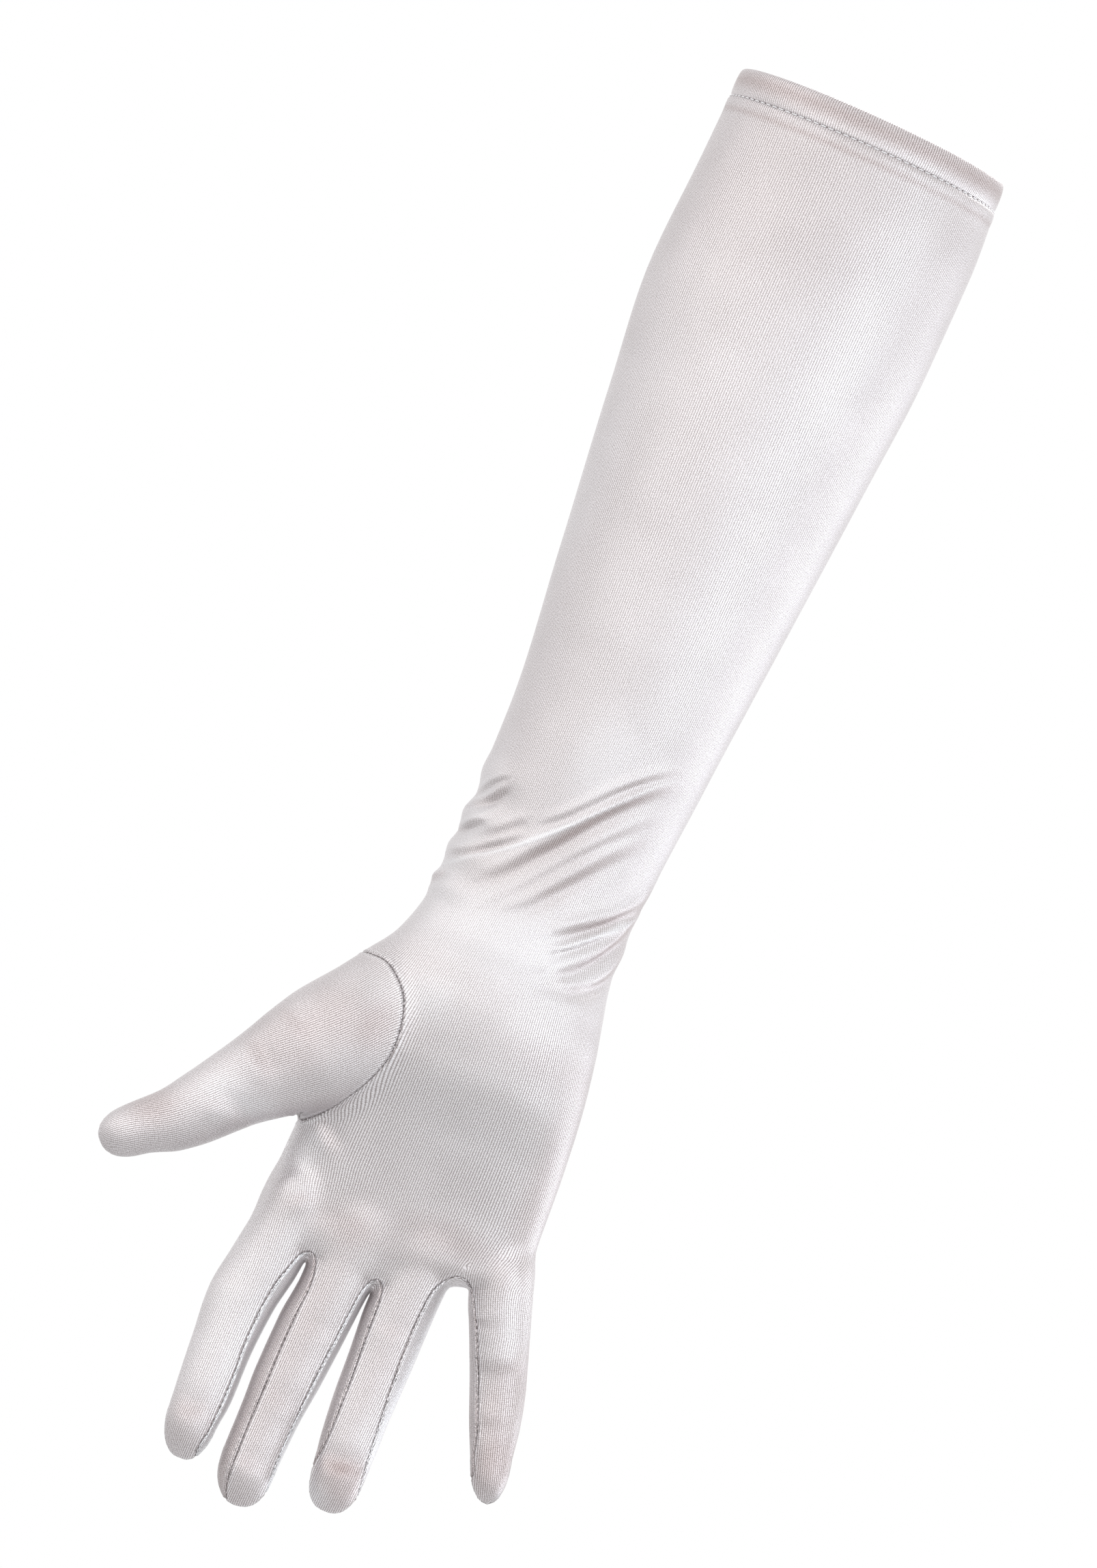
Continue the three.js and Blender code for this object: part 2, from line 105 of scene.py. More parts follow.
FINGERS_BELOW = -322     # above this the fingers lie deep inside the palm
THUMB_BELOW = -258       # and above this, or right of this, the thumb has no say
THUMB_RIGHT = 4


def smooth(rows, places, column):
    """Values of a column at places between the rows, on a curve that doesn't overshoot."""
    keys = next(iter(rows.values()))
    values = rows[column]
    steps = np.diff(keys)
    slopes = np.diff(values) / steps
    both = slopes[:-1] * slopes[1:]
    inner = np.where(both > 0, 2 * both / np.where(both > 0, slopes[:-1] + slopes[1:], 1), 0)
    lean = np.concatenate([[slopes[0]], inner, [slopes[-1]]])
    i = np.clip(np.searchsorted(keys, places) - 1, 0, len(keys) - 2)
    t = np.clip((places - keys[i]) / steps[i], 0, 1)
    start, end = values[i], values[i + 1]
    rise = lean[i] * steps[i]
    land = lean[i + 1] * steps[i]
    return (start * (2 * t**3 - 3 * t**2 + 1) + rise * (t**3 - 2 * t**2 + t)
            + end * (3 * t**2 - 2 * t**3) + land * (t**3 - t**2))


def arm_gap(p):
    """Distance of points from the sleeve and palm, negative inside."""
    x, y, z = p.T
    left, right, front, back, full = (smooth(ARM, z, c)
                                      for c in ("left", "right", "front", "back", "full"))
    along_x = x - (left + right) / 2
    along_y = y - (front + back) / 2
    ratio = (np.abs(2 * along_x / (right - left)) ** full
             + np.abs(2 * along_y / (back - front)) ** full) ** (1 / full)
    side = np.hypot(along_x, along_y) * (1 - 1 / np.maximum(ratio, 1e-4))
    below = WEB - z
    return blend_max(side, below, HAND_SOFT)


def finger_place(p, finger):
    """Way along a finger's line, place across it and depth, of points."""
    lean = math.radians(finger["lean"])
    x = p[:, 0] - finger["root"][0]
    z = p[:, 2] - finger["root"][1]
    way = x * math.sin(lean) - z * math.cos(lean)
    across = x * math.cos(lean) + z * math.sin(lean)
    return way, across, p[:, 1]


def finger_section(finger, way):
    """Edges on either side, depth of the middle and thickness, at places along a finger."""
    return (smooth(finger["rows"], way, c) for c in ("left", "right", "depth", "thick"))


def finger_gap(p, finger):
    """Distance of points from a finger, negative inside."""
    way, across, y = finger_place(p, finger)
    left, right, depth, thick = finger_section(finger, way)
    u = across - (left + right) / 2
    v = y - depth
    tip = np.maximum(way - finger["tip"] + finger["dome"], 0)
    root = np.maximum(finger["rows"]["way"][0] + ROOT_DOME / 2 - way, 0)
    section = (np.abs(2 * u / (right - left)) ** FINGER_FULL
               + np.abs(2 * v / thick) ** FINGER_FULL) ** (1 / FINGER_FULL)
    blunt = finger["blunt"]
    ratio = (section**blunt + (tip / finger["dome"]) ** blunt
             + (root / ROOT_DOME) ** blunt) ** (1 / blunt)
    reach = np.sqrt(u**2 + v**2 + tip**2 + root**2)
    return reach * (1 - 1 / np.maximum(ratio, 1e-4))


FINGERS_SOFT, HAND_SOFT, THUMB_SOFT = 0.8, 3.0, 6.0    # how softly they run into one another


def blend_min(a, b, soft):
    """The smaller of two distances, rounded where they are alike."""
    h = np.clip(0.5 + 0.5 * (b - a) / soft, 0, 1)
    return b * (1 - h) + a * h - soft * h * (1 - h)


def blend_max(a, b, soft):
    return -blend_min(-a, -b, soft)


def glove_gap(p):
    """Distance of points from the outside of the whole glove, negative inside."""
    whole = arm_gap(p)
    low = np.flatnonzero(p[:, 2] < FINGERS_BELOW)
    if len(low):
        gaps = [finger_gap(p[low], finger) for finger in FINGERS.values()]
        hand = gaps[0]
        for gap in gaps[1:]:
            hand = blend_min(hand, gap, FINGERS_SOFT)
        whole[low] = blend_min(hand, whole[low], HAND_SOFT)
    near = np.flatnonzero((p[:, 2] < THUMB_BELOW) & (p[:, 0] < THUMB_RIGHT))
    if len(near):
        whole[near] = blend_min(whole[near], finger_gap(p[near], THUMB), THUMB_SOFT)
    return whole


def slope_of(gap, p, step=0.05):
    """Gradient of a distance at points."""
    grad = np.empty_like(p)
    for axis in range(3):
        move = np.zeros(3)
        move[axis] = step
        grad[:, axis] = (gap(p + move) - gap(p - move)) / (2 * step)
    return grad


def onto_glove(p, rounds=3, hold_z=None):
    """Points moved square on to the outside of the glove."""
    for _ in range(rounds):
        grad = slope_of(glove_gap, p)
        if hold_z is not None:
            grad[hold_z, 2] = 0
        size = np.maximum((grad**2).sum(1), 0.05)
        move = grad * (glove_gap(p) / size)[:, None]
        length = np.linalg.norm(move, axis=1)
        p = p - move * np.minimum(1, 2.0 / np.maximum(length, 1e-9))[:, None]
    return p


def net(xs, ys, zs):
    """Quad net around the slimmed glove: one point for each cell that the surface passes."""
    at = np.stack(np.meshgrid(xs, ys, zs, indexing="ij"), -1)
    inside = (glove_gap(at.reshape(-1, 3)) + SLIM < 0).reshape(at.shape[:3])
    corners = sum(inside[i:i - 1 or None, j:j - 1 or None, k:k - 1 or None].astype(int)
                  for i in (0, 1) for j in (0, 1) for k in (0, 1))
    busy = (corners > 0) & (corners < 8)
    number = np.full(busy.shape, -1)
    number[busy] = np.arange(busy.sum())
    middle = (at[1:, 1:, 1:] + at[:-1, :-1, :-1]) / 2
    quads = []
    for axis in range(3):
        start = np.take(inside, range(inside.shape[axis] - 1), axis)
        end = np.take(inside, range(1, inside.shape[axis]), axis)
        one, two = [a for a in range(3) if a != axis]
        for out in (False, True):
            hit = np.argwhere((start != end) & (start == (not out)))
            fits = (hit[:, one] > 0) & (hit[:, two] > 0)
            fits &= (hit[:, one] < busy.shape[one]) & (hit[:, two] < busy.shape[two])
            hit = hit[fits]
            ring = []
            for back_one, back_two in ((1, 1), (0, 1), (0, 0), (1, 0)):
                cell = hit.copy()
                cell[:, one] -= back_one
                cell[:, two] -= back_two
                ring.append(number[tuple(cell.T)])
            ring = np.stack(ring, 1)
            quads.append(ring if (axis == 1) == out else ring[:, ::-1])
    return middle[busy], np.concatenate(quads)


def neighbours_mean(points, edges):
    """Mean place of the neighbours of each point."""
    total = np.zeros_like(points)
    count = np.zeros(len(points))
    for a, b in ((0, 1), (1, 0)):
        np.add.at(total, edges[:, a], points[edges[:, b]])
        np.add.at(count, edges[:, a], 1)
    return total / np.maximum(count, 1)[:, None]


def glove_net():
    """Even net of triangles on the outside of the glove."""
    heights = np.concatenate([np.arange(4.2, -186, -SLEEVE_STEP), np.arange(-187.6, -450, -HAND_STEP)])
    points, quads = net(np.arange(-92, 69, SIDE_STEP), np.arange(-38, 40, SIDE_STEP), heights[::-1])
    edges = np.sort(np.concatenate([quads[:, [i, (i + 1) % 4]] for i in range(4)]), axis=1)
    edges = np.unique(edges, axis=0)
    points = onto_glove(points, 4)
    for _ in range(5):
        points = onto_glove(points + 0.6 * (neighbours_mean(points, edges) - points), 1)
    a, b, c, d = quads.T
    short = np.linalg.norm(points[a] - points[c], axis=1) < np.linalg.norm(points[b] - points[d], axis=1)
    one = np.where(short[:, None], np.stack([a, b, c], 1), np.stack([a, b, d], 1))
    two = np.where(short[:, None], np.stack([a, c, d], 1), np.stack([b, c, d], 1))
    return points, np.concatenate([one, two])


def sides_of(tris):
    """The edges of triangles, and for each triangle the numbers of its three edges."""
    pairs = np.sort(np.concatenate([tris[:, [i, (i + 1) % 3]] for i in range(3)]), axis=1)
    edges, number = np.unique(pairs, axis=0, return_inverse=True)
    return edges, number.reshape(3, -1).T


def split_sides(points, tris, edges, number, chosen, places):
    """Triangles with the chosen edges split at places, so that neighbours still fit together."""
    added = np.full(len(edges), -1)
    added[chosen] = len(points) + np.arange(chosen.sum())
    points = np.concatenate([points, places])
    mid = added[number]
    count = (mid >= 0).sum(1)
    out = [tris[count == 0]]
    for k in range(3):
        turn = [k, (k + 1) % 3, (k + 2) % 3]
        pick = (count == 1) & (mid[:, k] >= 0)
        a, b, c = tris[pick][:, turn].T
        m = mid[pick, k]
        out += [np.stack([a, m, c], 1), np.stack([m, b, c], 1)]
        pick = (count == 2) & (mid[:, k] < 0)
        a, b, c = tris[pick][:, turn].T
        m, n = mid[pick][:, turn[1:]].T
        out += [np.stack([m, c, n], 1), np.stack([a, b, m], 1), np.stack([a, m, n], 1)]
    a, b, c = tris[count == 3].T
    ab, bc, ca = mid[count == 3].T
    out += [np.stack(t, 1) for t in ((a, ab, ca), (b, bc, ab), (c, ca, bc), (ab, bc, ca))]
    return points, np.concatenate(out)


# Seams, as they run on the palm side in the plane of the hand (x, z). The thumb's seam circles
# the ball of the thumb and lies further out on the back. Each side piece between two fingers has
# a seam on either finger and an arch over the web
SEAM_OUTLINES = {
    "thumb": [(-52, -262), (-40.5, -277.3), (-35, -278.8), (-29.4, -279.8), (-23.9, -284.4),
              (-20.6, -289.4), (-18.5, -296.7), (-17.8, -303.3), (-18.5, -308.9), (-20.8, -315.6),
              (-23.9, -321.4), (-27.4, -326.9), (-31.5, -330.8), (-37, -336), (-57, -400),
              (-130, -400), (-130, -250), (-60, -250)],
    "fourchette_index_middle": [
        (-18.3, -369.3), (-16.2, -367.8), (-14.5, -368.4), (-13.3, -371), (-12.6, -374.5),
        (-12.4, -378), (-12.7, -384), (-12.8, -396), (-12.5, -408), (-12.3, -420), (-11.8, -432),
        (-10.9, -439), (-9.4, -443.4), (-9, -452), (-20, -452), (-22.6, -434), (-21.9, -427),
        (-21.6, -418), (-21.9, -408), (-22.6, -400), (-22.6, -390), (-22.1, -384), (-21.4, -379),
        (-20.2, -374.8), (-19.4, -372)],
    "fourchette_middle_ring": [
        (3.4, -368.8), (5.2, -367.2), (6.9, -368.5), (7.7, -371.2), (8.2, -376), (8.8, -386),
        (9.6, -396), (10.1, -406), (10.3, -414), (9.9, -424), (9, -432), (8, -446), (1.5, -446),
        (0.5, -437), (-0.1, -428), (-0.2, -418), (0.1, -406), (0.5, -396), (1.2, -386),
        (1.7, -378), (2.3, -372)],
    "fourchette_ring_little": [
        (24.4, -358), (27.3, -356.5), (30.3, -357.6), (33.5, -362), (37, -368), (40.3, -374.5),
        (43.5, -381.5), (46.5, -388.5), (49.3, -395), (51.3, -402), (53, -412), (40, -440),
        (27, -440), (25.6, -429), (24.2, -419), (22.8, -406), (21.6, -394), (20.7, -382),
        (20.6, -371), (21.4, -363)],
}
THUMB_SHIFT = (-6, -6.7)            # of the thumb's seam, from the palm to the back
THUMB_PALM, THUMB_BACK = -22, 20    # at these depths
HEM_SEAM = -8.8


def curve_through(points, share=6, closed=True):
    """Smooth curve through points, as a row of points close together."""
    p = np.array(points, float)
    n = len(p)
    at = (lambda i: p[i % n]) if closed else (lambda i: p[min(max(i, 0), n - 1)])
    out = []
    for i in range(n if closed else n - 1):
        before, a, b, after = at(i - 1), at(i), at(i + 1), at(i + 2)
        for t in np.arange(share) / share:
            out.append(((2 * a) + (b - before) * t + (2 * before - 5 * a + 4 * b - after) * t**2
                        + (3 * a - before - 3 * b + after) * t**3) / 2)
    if not closed:
        out.append(p[-1])
    return np.array(out)


def from_outline(flat, outline, reach=8.0):
    """Distance inside a closed outline, negative outside, exact only within reach of it."""
    result = np.full(len(flat), -reach)
    low, high = outline.min(0) - reach, outline.max(0) + reach
    near = np.flatnonzero(((flat > low) & (flat < high)).all(1))
    ends = np.roll(outline, -1, 0)
    run = ends - outline
    for part in np.array_split(near, len(near) // 20000 + 1):
        q = flat[part][:, None, :]
        t = np.clip(((q - outline) * run).sum(2) / (run**2).sum(1), 0, 1)
        away = np.linalg.norm(q - outline - t[..., None] * run, axis=2).min(1)
        cross = (outline[:, 1] > q[:, :, 1]) != (ends[:, 1] > q[:, :, 1])
        rise = np.where(run[:, 1] == 0, 1, run[:, 1])
        hit = cross & (q[:, :, 0] < outline[:, 0] + run[:, 0] * (q[:, :, 1] - outline[:, 1]) / rise)
        result[part] = np.where(hit.sum(1) % 2 == 1, away, -away)
    return result


SEAM_CURVES = {name: curve_through(points) for name, points in SEAM_OUTLINES.items()}


def inside_piece(p, name):
    """Distance inside a piece's seam in the plane of the hand, negative outside."""
    flat = p[:, [0, 2]]
    if name == "thumb":
        share = (p[:, 1:2] - THUMB_PALM) / (THUMB_BACK - THUMB_PALM)
        flat = flat - share * np.array(THUMB_SHIFT)
    return from_outline(flat, SEAM_CURVES[name])


def inside_any(p):
    """Distances inside each piece that is cut out of the trank, a column each."""
    columns = [inside_piece(p, name) for name in SEAM_CURVES]
    return np.stack([*columns, p[:, 2] - HEM_SEAM], 1)


HAND_BELOW, FOLDS_FROM, FOLDS_TO = -187, -193, -270
SLEEVE_EDGE, HAND_EDGE, FOLDS_EDGE = 4.6, 2.4, 1.0      # length of the mesh's edges in each place
BY_SEAM, BY_SEAM_EDGE = 3.0, 1.1                        # and within two distances of a seam
AT_SEAM, AT_SEAM_EDGE = 1.4, 0.54


def size_wanted(p):
    """Length that the mesh's edges should have at points."""
    seam = np.abs(inside_any(p).max(1))
    size = np.where(p[:, 2] < HAND_BELOW, HAND_EDGE, SLEEVE_EDGE)
    wrist = (p[:, 2] < FOLDS_FROM) & (p[:, 2] > FOLDS_TO) & (p[:, 1] < 2)
    size = np.where(wrist, FOLDS_EDGE, size)
    size = np.where(seam < BY_SEAM, np.minimum(size, BY_SEAM_EDGE), size)
    return np.where(seam < AT_SEAM, AT_SEAM_EDGE, size)


def refined(points, tris, rounds=3):
    """Triangles split where their edges are too long, and smoothed on the glove each time."""
    for _ in range(rounds):
        edges, number = sides_of(tris)
        a, b = points[edges[:, 0]], points[edges[:, 1]]
        chosen = np.linalg.norm(a - b, axis=1) > 1.4 * size_wanted((a + b) / 2)
        fresh = len(points)
        points, tris = split_sides(points, tris, edges, number, chosen, ((a + b) / 2)[chosen])
        edges, number = sides_of(tris)
        points[fresh:] = onto_glove(points[fresh:], 2)
        points = points + 0.4 * (neighbours_mean(points, edges) - points)
    return onto_glove(points, 2), tris


def cut_along(points, tris, snap=0.22):
    """Triangles split along the seams, and for each the column of its piece, or -1 for the trank."""
    value = inside_any(points).max(1)
    edges, number = sides_of(tris)
    a, b = edges.T
    crossing = value[a] * value[b] < 0
    t = np.where(crossing, value[a] / np.where(crossing, value[a] - value[b], 1), 0.5)
    place = points[a] + t[:, None] * (points[b] - points[a])
    moved = points.copy()
    for end, close in ((a, crossing & (t < snap)), (b, crossing & (t > 1 - snap))):
        moved[end[close]] = place[close]
        value[end[close]] = 0
    chosen = value[a] * value[b] < 0
    points, tris = split_sides(moved, tris, edges, number, chosen, place[chosen])
    value = np.concatenate([value, np.zeros(chosen.sum())])
    inside = value[tris].sum(1) > 0
    columns = inside_any(points[tris].mean(1))
    return points, tris, np.where(inside, columns.argmax(1), -1)


points, tris = refined(*glove_net())
points, tris, owner = cut_along(points, tris)
normals = slope_of(glove_gap, points)
normals /= np.linalg.norm(normals, axis=1)[:, None]
PIECES = [*SEAM_CURVES, "hem"]


def borders(tris):
    """Rows of points around the borders of a set of triangles."""
    sides = np.concatenate([tris[:, [i, (i + 1) % 3]] for i in range(3)])
    known = set(map(tuple, sides.tolist()))
    after = {a: b for a, b in known if (b, a) not in known}
    rows = []
    while after:
        row = [next(iter(after))]
        while row[-1] in after:
            row.append(after.pop(row[-1]))
        rows.append(row)
    return rows


def at_steps(path, step):
    """Points at even steps along a path, and the way along it to each."""
    way = np.concatenate([[0], np.cumsum(np.linalg.norm(np.diff(path, axis=0), axis=1))])
    count = max(2, round(way[-1] / step))
    at = np.linspace(0, way[-1], count + 1)
    return np.stack([np.interp(at, way, path[:, i]) for i in range(3)], 1), at


TIP_SEAM_ROUND = 100                  # degrees round the rim, either way from the tip
TIP_SEAM_IN = 1.4                     # towards the palm


def tip_seam(finger):
    """Seam that closes a fingertip, just on the palm side of its rim, from side to side."""
    lean = math.radians(finger["lean"])
    angle = np.radians(np.linspace(-TIP_SEAM_ROUND, TIP_SEAM_ROUND, 41))
    way = finger["tip"] - finger["dome"] * (1 - np.cos(angle))
    left, right, depth, _ = finger_section(finger, way)
    across = (left + right) / 2 + (right - left) / 2 * np.sin(angle)
    x = finger["root"][0] + way * math.sin(lean) + across * math.cos(lean)
    z = finger["root"][1] - way * math.cos(lean) + across * math.sin(lean)
    return onto_glove(np.stack([x, depth - TIP_SEAM_IN, z], 1), 4)


seam_paths = [points[row] for k in range(4) for row in borders(tris[owner == k])]
round_paths = len(seam_paths)
seam_paths += [tip_seam(finger) for finger in FINGERS.values()]
hem_path = points[borders(tris[owner == 4])[0]]

SEAM_REACH = 4.0
SEAM_STEP = 0.3
TIP_SEAM_DEEP = 0.3                   # the seams that close the fingertips are flatter
seam_steps = [at_steps(path, SEAM_STEP) for path in seam_paths]
seam_points, seam_ways = map(np.concatenate, zip(*seam_steps))
tree = KDTree(len(seam_points))
for i, place in enumerate(seam_points):
    tree.insert(place, i)
tree.balance()
tips_from = sum(len(ways) for _, ways in seam_steps[:round_paths])
seam_far = np.full(len(points), 2 * SEAM_REACH)
seam_way = np.zeros(len(points))
seam_deep = np.ones(len(points))
for i in np.flatnonzero(points[:, 2] < -255):
    _, nearest, far = tree.find(points[i])
    if far < SEAM_REACH:
        seam_far[i] = far
        seam_way[i] = seam_ways[nearest]
        seam_deep[i] = TIP_SEAM_DEEP if nearest >= tips_from else 1

# Folds of loose cloth. Each is a row of places (x, z) on the palm side with a width and a height:
# the cloth stands high along its upper left side and falls steeply to its lower right side.
# A crest is a thin line that stands up by itself
CREST_HIGHLIGHT, FALL_SHADE, BROW_HIGHLIGHT = 0.3, -0.3, 0.08    # painted highlight on crests and brows, painted shade on the falls
FOLDS = [
    # width, height, crest, places from the lower left end to the upper right end
    (2.0, 1.0, 0, [(-15, -247.5), (-9, -241.5), (-4, -234.8), (1, -228.6), (6, -221.5), (11, -215),
                    (16, -209.5), (21, -204.5), (25.5, -200.5)]),
    (1.2, 0.62, 0, [(-5, -225.5), (0, -221), (5, -215.2), (9, -210.3), (13, -206), (17, -202.2),
                    (21, -199), (26, -195.6)]),
    (1.5, 0.36, 0, [(-13, -257), (-6, -248.5), (0, -240.8), (5, -233.6), (10, -227.4), (15, -221.6),
                   (20, -216.4), (26, -211)]),
    (1.9, 0.66, 0, [(-7, -254.5), (0, -249), (4, -243.8), (8, -238.8), (12, -233.6), (16, -228.2),
                    (20, -223.8), (25, -218)]),
    (1.7, 0.95, 0, [(10.5, -254.2), (15, -250.6), (20, -246.8), (24, -243.4), (28, -239.2),
                   (31, -234.6), (32.6, -229)]),
    (1.0, 0.46, 0, [(11.5, -259.6), (16, -256.2), (20, -252.6), (24, -248.8), (27.5, -245.4)]),
    (1.7, 1.0, 0, [(14, -265.6), (18, -262.2), (22, -258.4), (25, -254.8), (27.6, -250.6),
                    (29.6, -246.6), (31.4, -241), (32.8, -236), (33.4, -231)]),
    (0.6, 0.4, 1, [(14, -257.4), (20.5, -251.5), (27, -245), (33.4, -238)]),
    (1.6, 0.82, 0, [(21, -266.4), (25.5, -264.4), (29, -261), (31.2, -257), (32.4, -252), (33, -247)]),
    (1.8, 0.3, 0, [(10, -268.6), (17, -267), (24, -266.4)]),
    (1.2, 0.7, 0, [(-26, -229.5), (-23.6, -226.6), (-21, -223.8), (-18.4, -220)]),
    (0.8, 0.36, 0, [(-27, -226), (-24.6, -222.4), (-22, -219.4), (-19.5, -217)]),
    (1.4, 0.32, 0, [(-18.6, -235.4), (-14, -230.6), (-9.6, -226.2)]),
    (1.0, 0.5, 0, [(-27.8, -238.4), (-24, -234.6), (-20.5, -231.4)]),
    (1.2, 0.46, 0, [(-26.5, -245), (-20.6, -240.8), (-15, -236.4), (-9, -231.4)]),
    (0.6, 0.5, 1, [(-27.4, -249), (-22, -244.5), (-17, -240.6), (-12, -236.7), (-8, -233.2),
                   (-4, -229.2), (0, -225.3), (4, -221), (8, -216.6), (12, -212.2), (16, -207.8),
                   (20, -203.2), (25, -198.6)]),
    (0.9, 0.5, 0, [(-29, -255.5), (-27, -252.6), (-25, -250)]),
    (1.2, 0.16, 0, [(33, -365.4), (37, -366), (41.5, -364.2), (44, -361.6)]),
    (2.2, 0.22, 0, [(40, -377.4), (45, -377), (50, -375), (54.5, -372.4)]),
    (2.2, 0.4, 0, [(-21, -337.6), (-25.5, -334.4), (-30, -331.4)]),
    (2.2, 0.25, 0, [(-20, -352.6), (-24.6, -354.4), (-28.4, -356.8)]),
    (2.2, 0.2, 0, [(-41, -309.6), (-47, -308.2), (-54, -305)]),
    (2.4, 0.4, 0, [(-47, -325), (-52, -322), (-57, -317.4)]),
    (2.6, 0.4, 0, [(-50, -340), (-56, -338), (-62, -338.2)]),
    (2.4, 0.1, 0, [(-24.5, -383), (-30.5, -384.4), (-36.5, -383.6)]),
    (3.0, 0.35, 0, [(-23.5, -421.5), (-29, -423.6), (-35, -422.5)]),
    (2.2, 0.14, 0, [(2, -386.6), (-4, -388.2), (-10, -387.4)]),
    (2.2, 0.14, 0, [(0, -410.4), (-6, -410.8), (-11, -409.6)]),
    (2.6, 0.25, 0, [(0, -430), (-6, -430.6), (-11.6, -429.4)]),
    (2.2, 0.16, 0, [(21, -378), (15.5, -379.4), (10, -378.4)]),
    (2.6, 0.5, 0, [(23.5, -419), (17, -421), (11, -420.4)]),
    (2.4, 0.2, 0, [(49, -392.6), (54, -390.8), (59.5, -388)]),
]


def folds_at(p):
    """Height of the folds on the palm side at points, and their painted highlight and shade."""
    flat = p[:, [0, 2]]
    height, painted_tone = np.zeros((2, len(p)))
    for width, high, crest, places in FOLDS:
        path = curve_through(places, share=3, closed=False)
        low, top = path.min(0) - 5 * width, path.max(0) + 5 * width
        near = np.flatnonzero(((flat > low) & (flat < top)).all(1) & (p[:, 1] < 8))
        start, run = path[:-1], np.diff(path, axis=0)
        length = np.linalg.norm(run, axis=1)
        q = flat[near][:, None, :] - start
        t = np.clip((q * run).sum(2) / length**2, 0, 1)
        away = np.linalg.norm(q - t[..., None] * run, axis=2)
        best = away.argmin(1)
        rows = np.arange(len(near))
        side = np.sign(q[rows, best, 0] * run[best, 1] - q[rows, best, 1] * run[best, 0])
        w = side * away[rows, best] / width
        way = (best + t[rows, best]) / len(run)
        fade = np.sin(math.pi * np.clip(way, 0.02, 0.98)) ** 0.6
        fade *= np.where((way <= 0) | (way >= 1), np.exp(-(w / 1.5)**2), 1)
        if crest:
            height[near] += high * fade * np.exp(-w**2)
            painted_tone[near] += CREST_HIGHLIGHT * fade * np.exp(-w**2)
        else:
            height[near] += high * fade * -w * np.exp(0.5 - 0.5 * w**2)
            painted_tone[near] += high * fade * (FALL_SHADE * np.exp(-(w - 0.1) ** 2)
                                          + BROW_HIGHLIGHT * np.exp(-((w + 1.6) / 0.8) ** 2))
    return height, painted_tone


LEFT_EDGE = table("z out", [         # the folds also scallop the edge on the thumb's side
    (-500, 0), (-270, 0), (-264, 0.1), (-259, -0.3), (-253.4, 0.7), (-249, -0.1), (-242, 0.9),
    (-237, -0.2), (-231.5, 0.9), (-225.2, -0.9), (-217.5, 0.5), (-211, 0), (-200, 0), (10, 0)])
GROOVE, GROOVE_WIDE = 0.34, 0.3       # the seam's line lies this much deeper
RIDGE, RIDGE_AT, RIDGE_WIDE = 0.12, 0.85, 0.42
STITCH_PITCH = 2.2
PUCKER = 0.5                          # share by which the ridge swells between two stitches
BAND_FROM, BAND_SOFT, BAND_RISE = 13.0, 1.6, 0.22     # the doubled cloth stands out by the hem
HEM_GROOVE, HEM_GROOVE_WIDE = 0.45, 0.5
FACING, FACING_SOFT = 0.35, 0.5
front = np.clip((FACING - normals[:, 1]) / FACING_SOFT, 0, 1)
swell = 1 + PUCKER * np.cos(2 * math.pi * seam_way / STITCH_PITCH)
relief = RIDGE * np.exp(-((seam_far - RIDGE_AT) / RIDGE_WIDE) ** 2) * swell
relief -= GROOVE * np.exp(-(seam_far / GROOVE_WIDE) ** 2)
relief *= seam_deep
fold_height, fold_light_and_shade = folds_at(points)
relief += front * fold_height
z = points[:, 2]
relief += smooth(LEFT_EDGE, z, "out") * np.clip((-FACING - normals[:, 0]) / FACING_SOFT, 0, 1)
band = np.clip((z + BAND_FROM) / BAND_SOFT, 0, 1)
relief += BAND_RISE * band ** 2 * (3 - 2 * band)
relief -= HEM_GROOVE * np.exp(-((z - HEM_SEAM) / HEM_GROOVE_WIDE) ** 2)
skin = points + normals * relief[:, None]

# Painted light and shade in soft places on the palm side: paler where the hand's form faces the
# light, as on the heel, and darker where it turns away, as on the lower palm and the fingertips
LIGHT_AND_SHADE_PATCHES = [
    # x, z, half width, half height, how much paler as painted light (darker as painted shade when
    # negative)
    (-8, -28, 42, 36, -0.07), (26, -46, 10, 40, 0.05), (-34, -125, 7, 40, 0.05),
    (3, -202, 9, 13, 0.10), (-25, -234, 5, 22, 0.12), (-3, -261, 30, 13, 0.14),
    (-14, -286, 8, 7, 0.12), (26, -289, 18, 6, -0.08), (5, -313, 30, 16, 0.06),
    (40, -320, 7, 34, -0.14), (20, -347, 14, 5, -0.12), (14, -352, 34, 7, -0.06),
    (-12, -357, 16, 5, -0.10), (-34, -300, 13, 9, -0.16), (-25, -299, 5, 8, -0.14),
    (-46, -313, 12, 10, -0.13), (-46, -336, 6, 5, 0.10), (-76, -346, 8, 7, -0.20),
    (-31, -341, 6, 10, 0.12), (-34, -390, 5, 30, 0.08), (-27, -427, 9, 7, -0.08),
    (-7, -400, 7, 46, -0.12), (18, -386, 6, 26, -0.11), (20, -424, 8, 8, -0.26), (-57, -334, 7, 6, 0.12),
    (13, -431, 5, 4, 0.18), (54, -384, 8, 16, -0.18), (59, -402, 7, 9, -0.26),
]
painted_light = sum(painted_tone * np.exp(-(((points[:, 0] - x) / wide) ** 2 + ((points[:, 2] - z) / high) ** 2) ** 1.5)
            for x, z, wide, high, painted_tone in LIGHT_AND_SHADE_PATCHES) + fold_light_and_shade
painted_light *= front

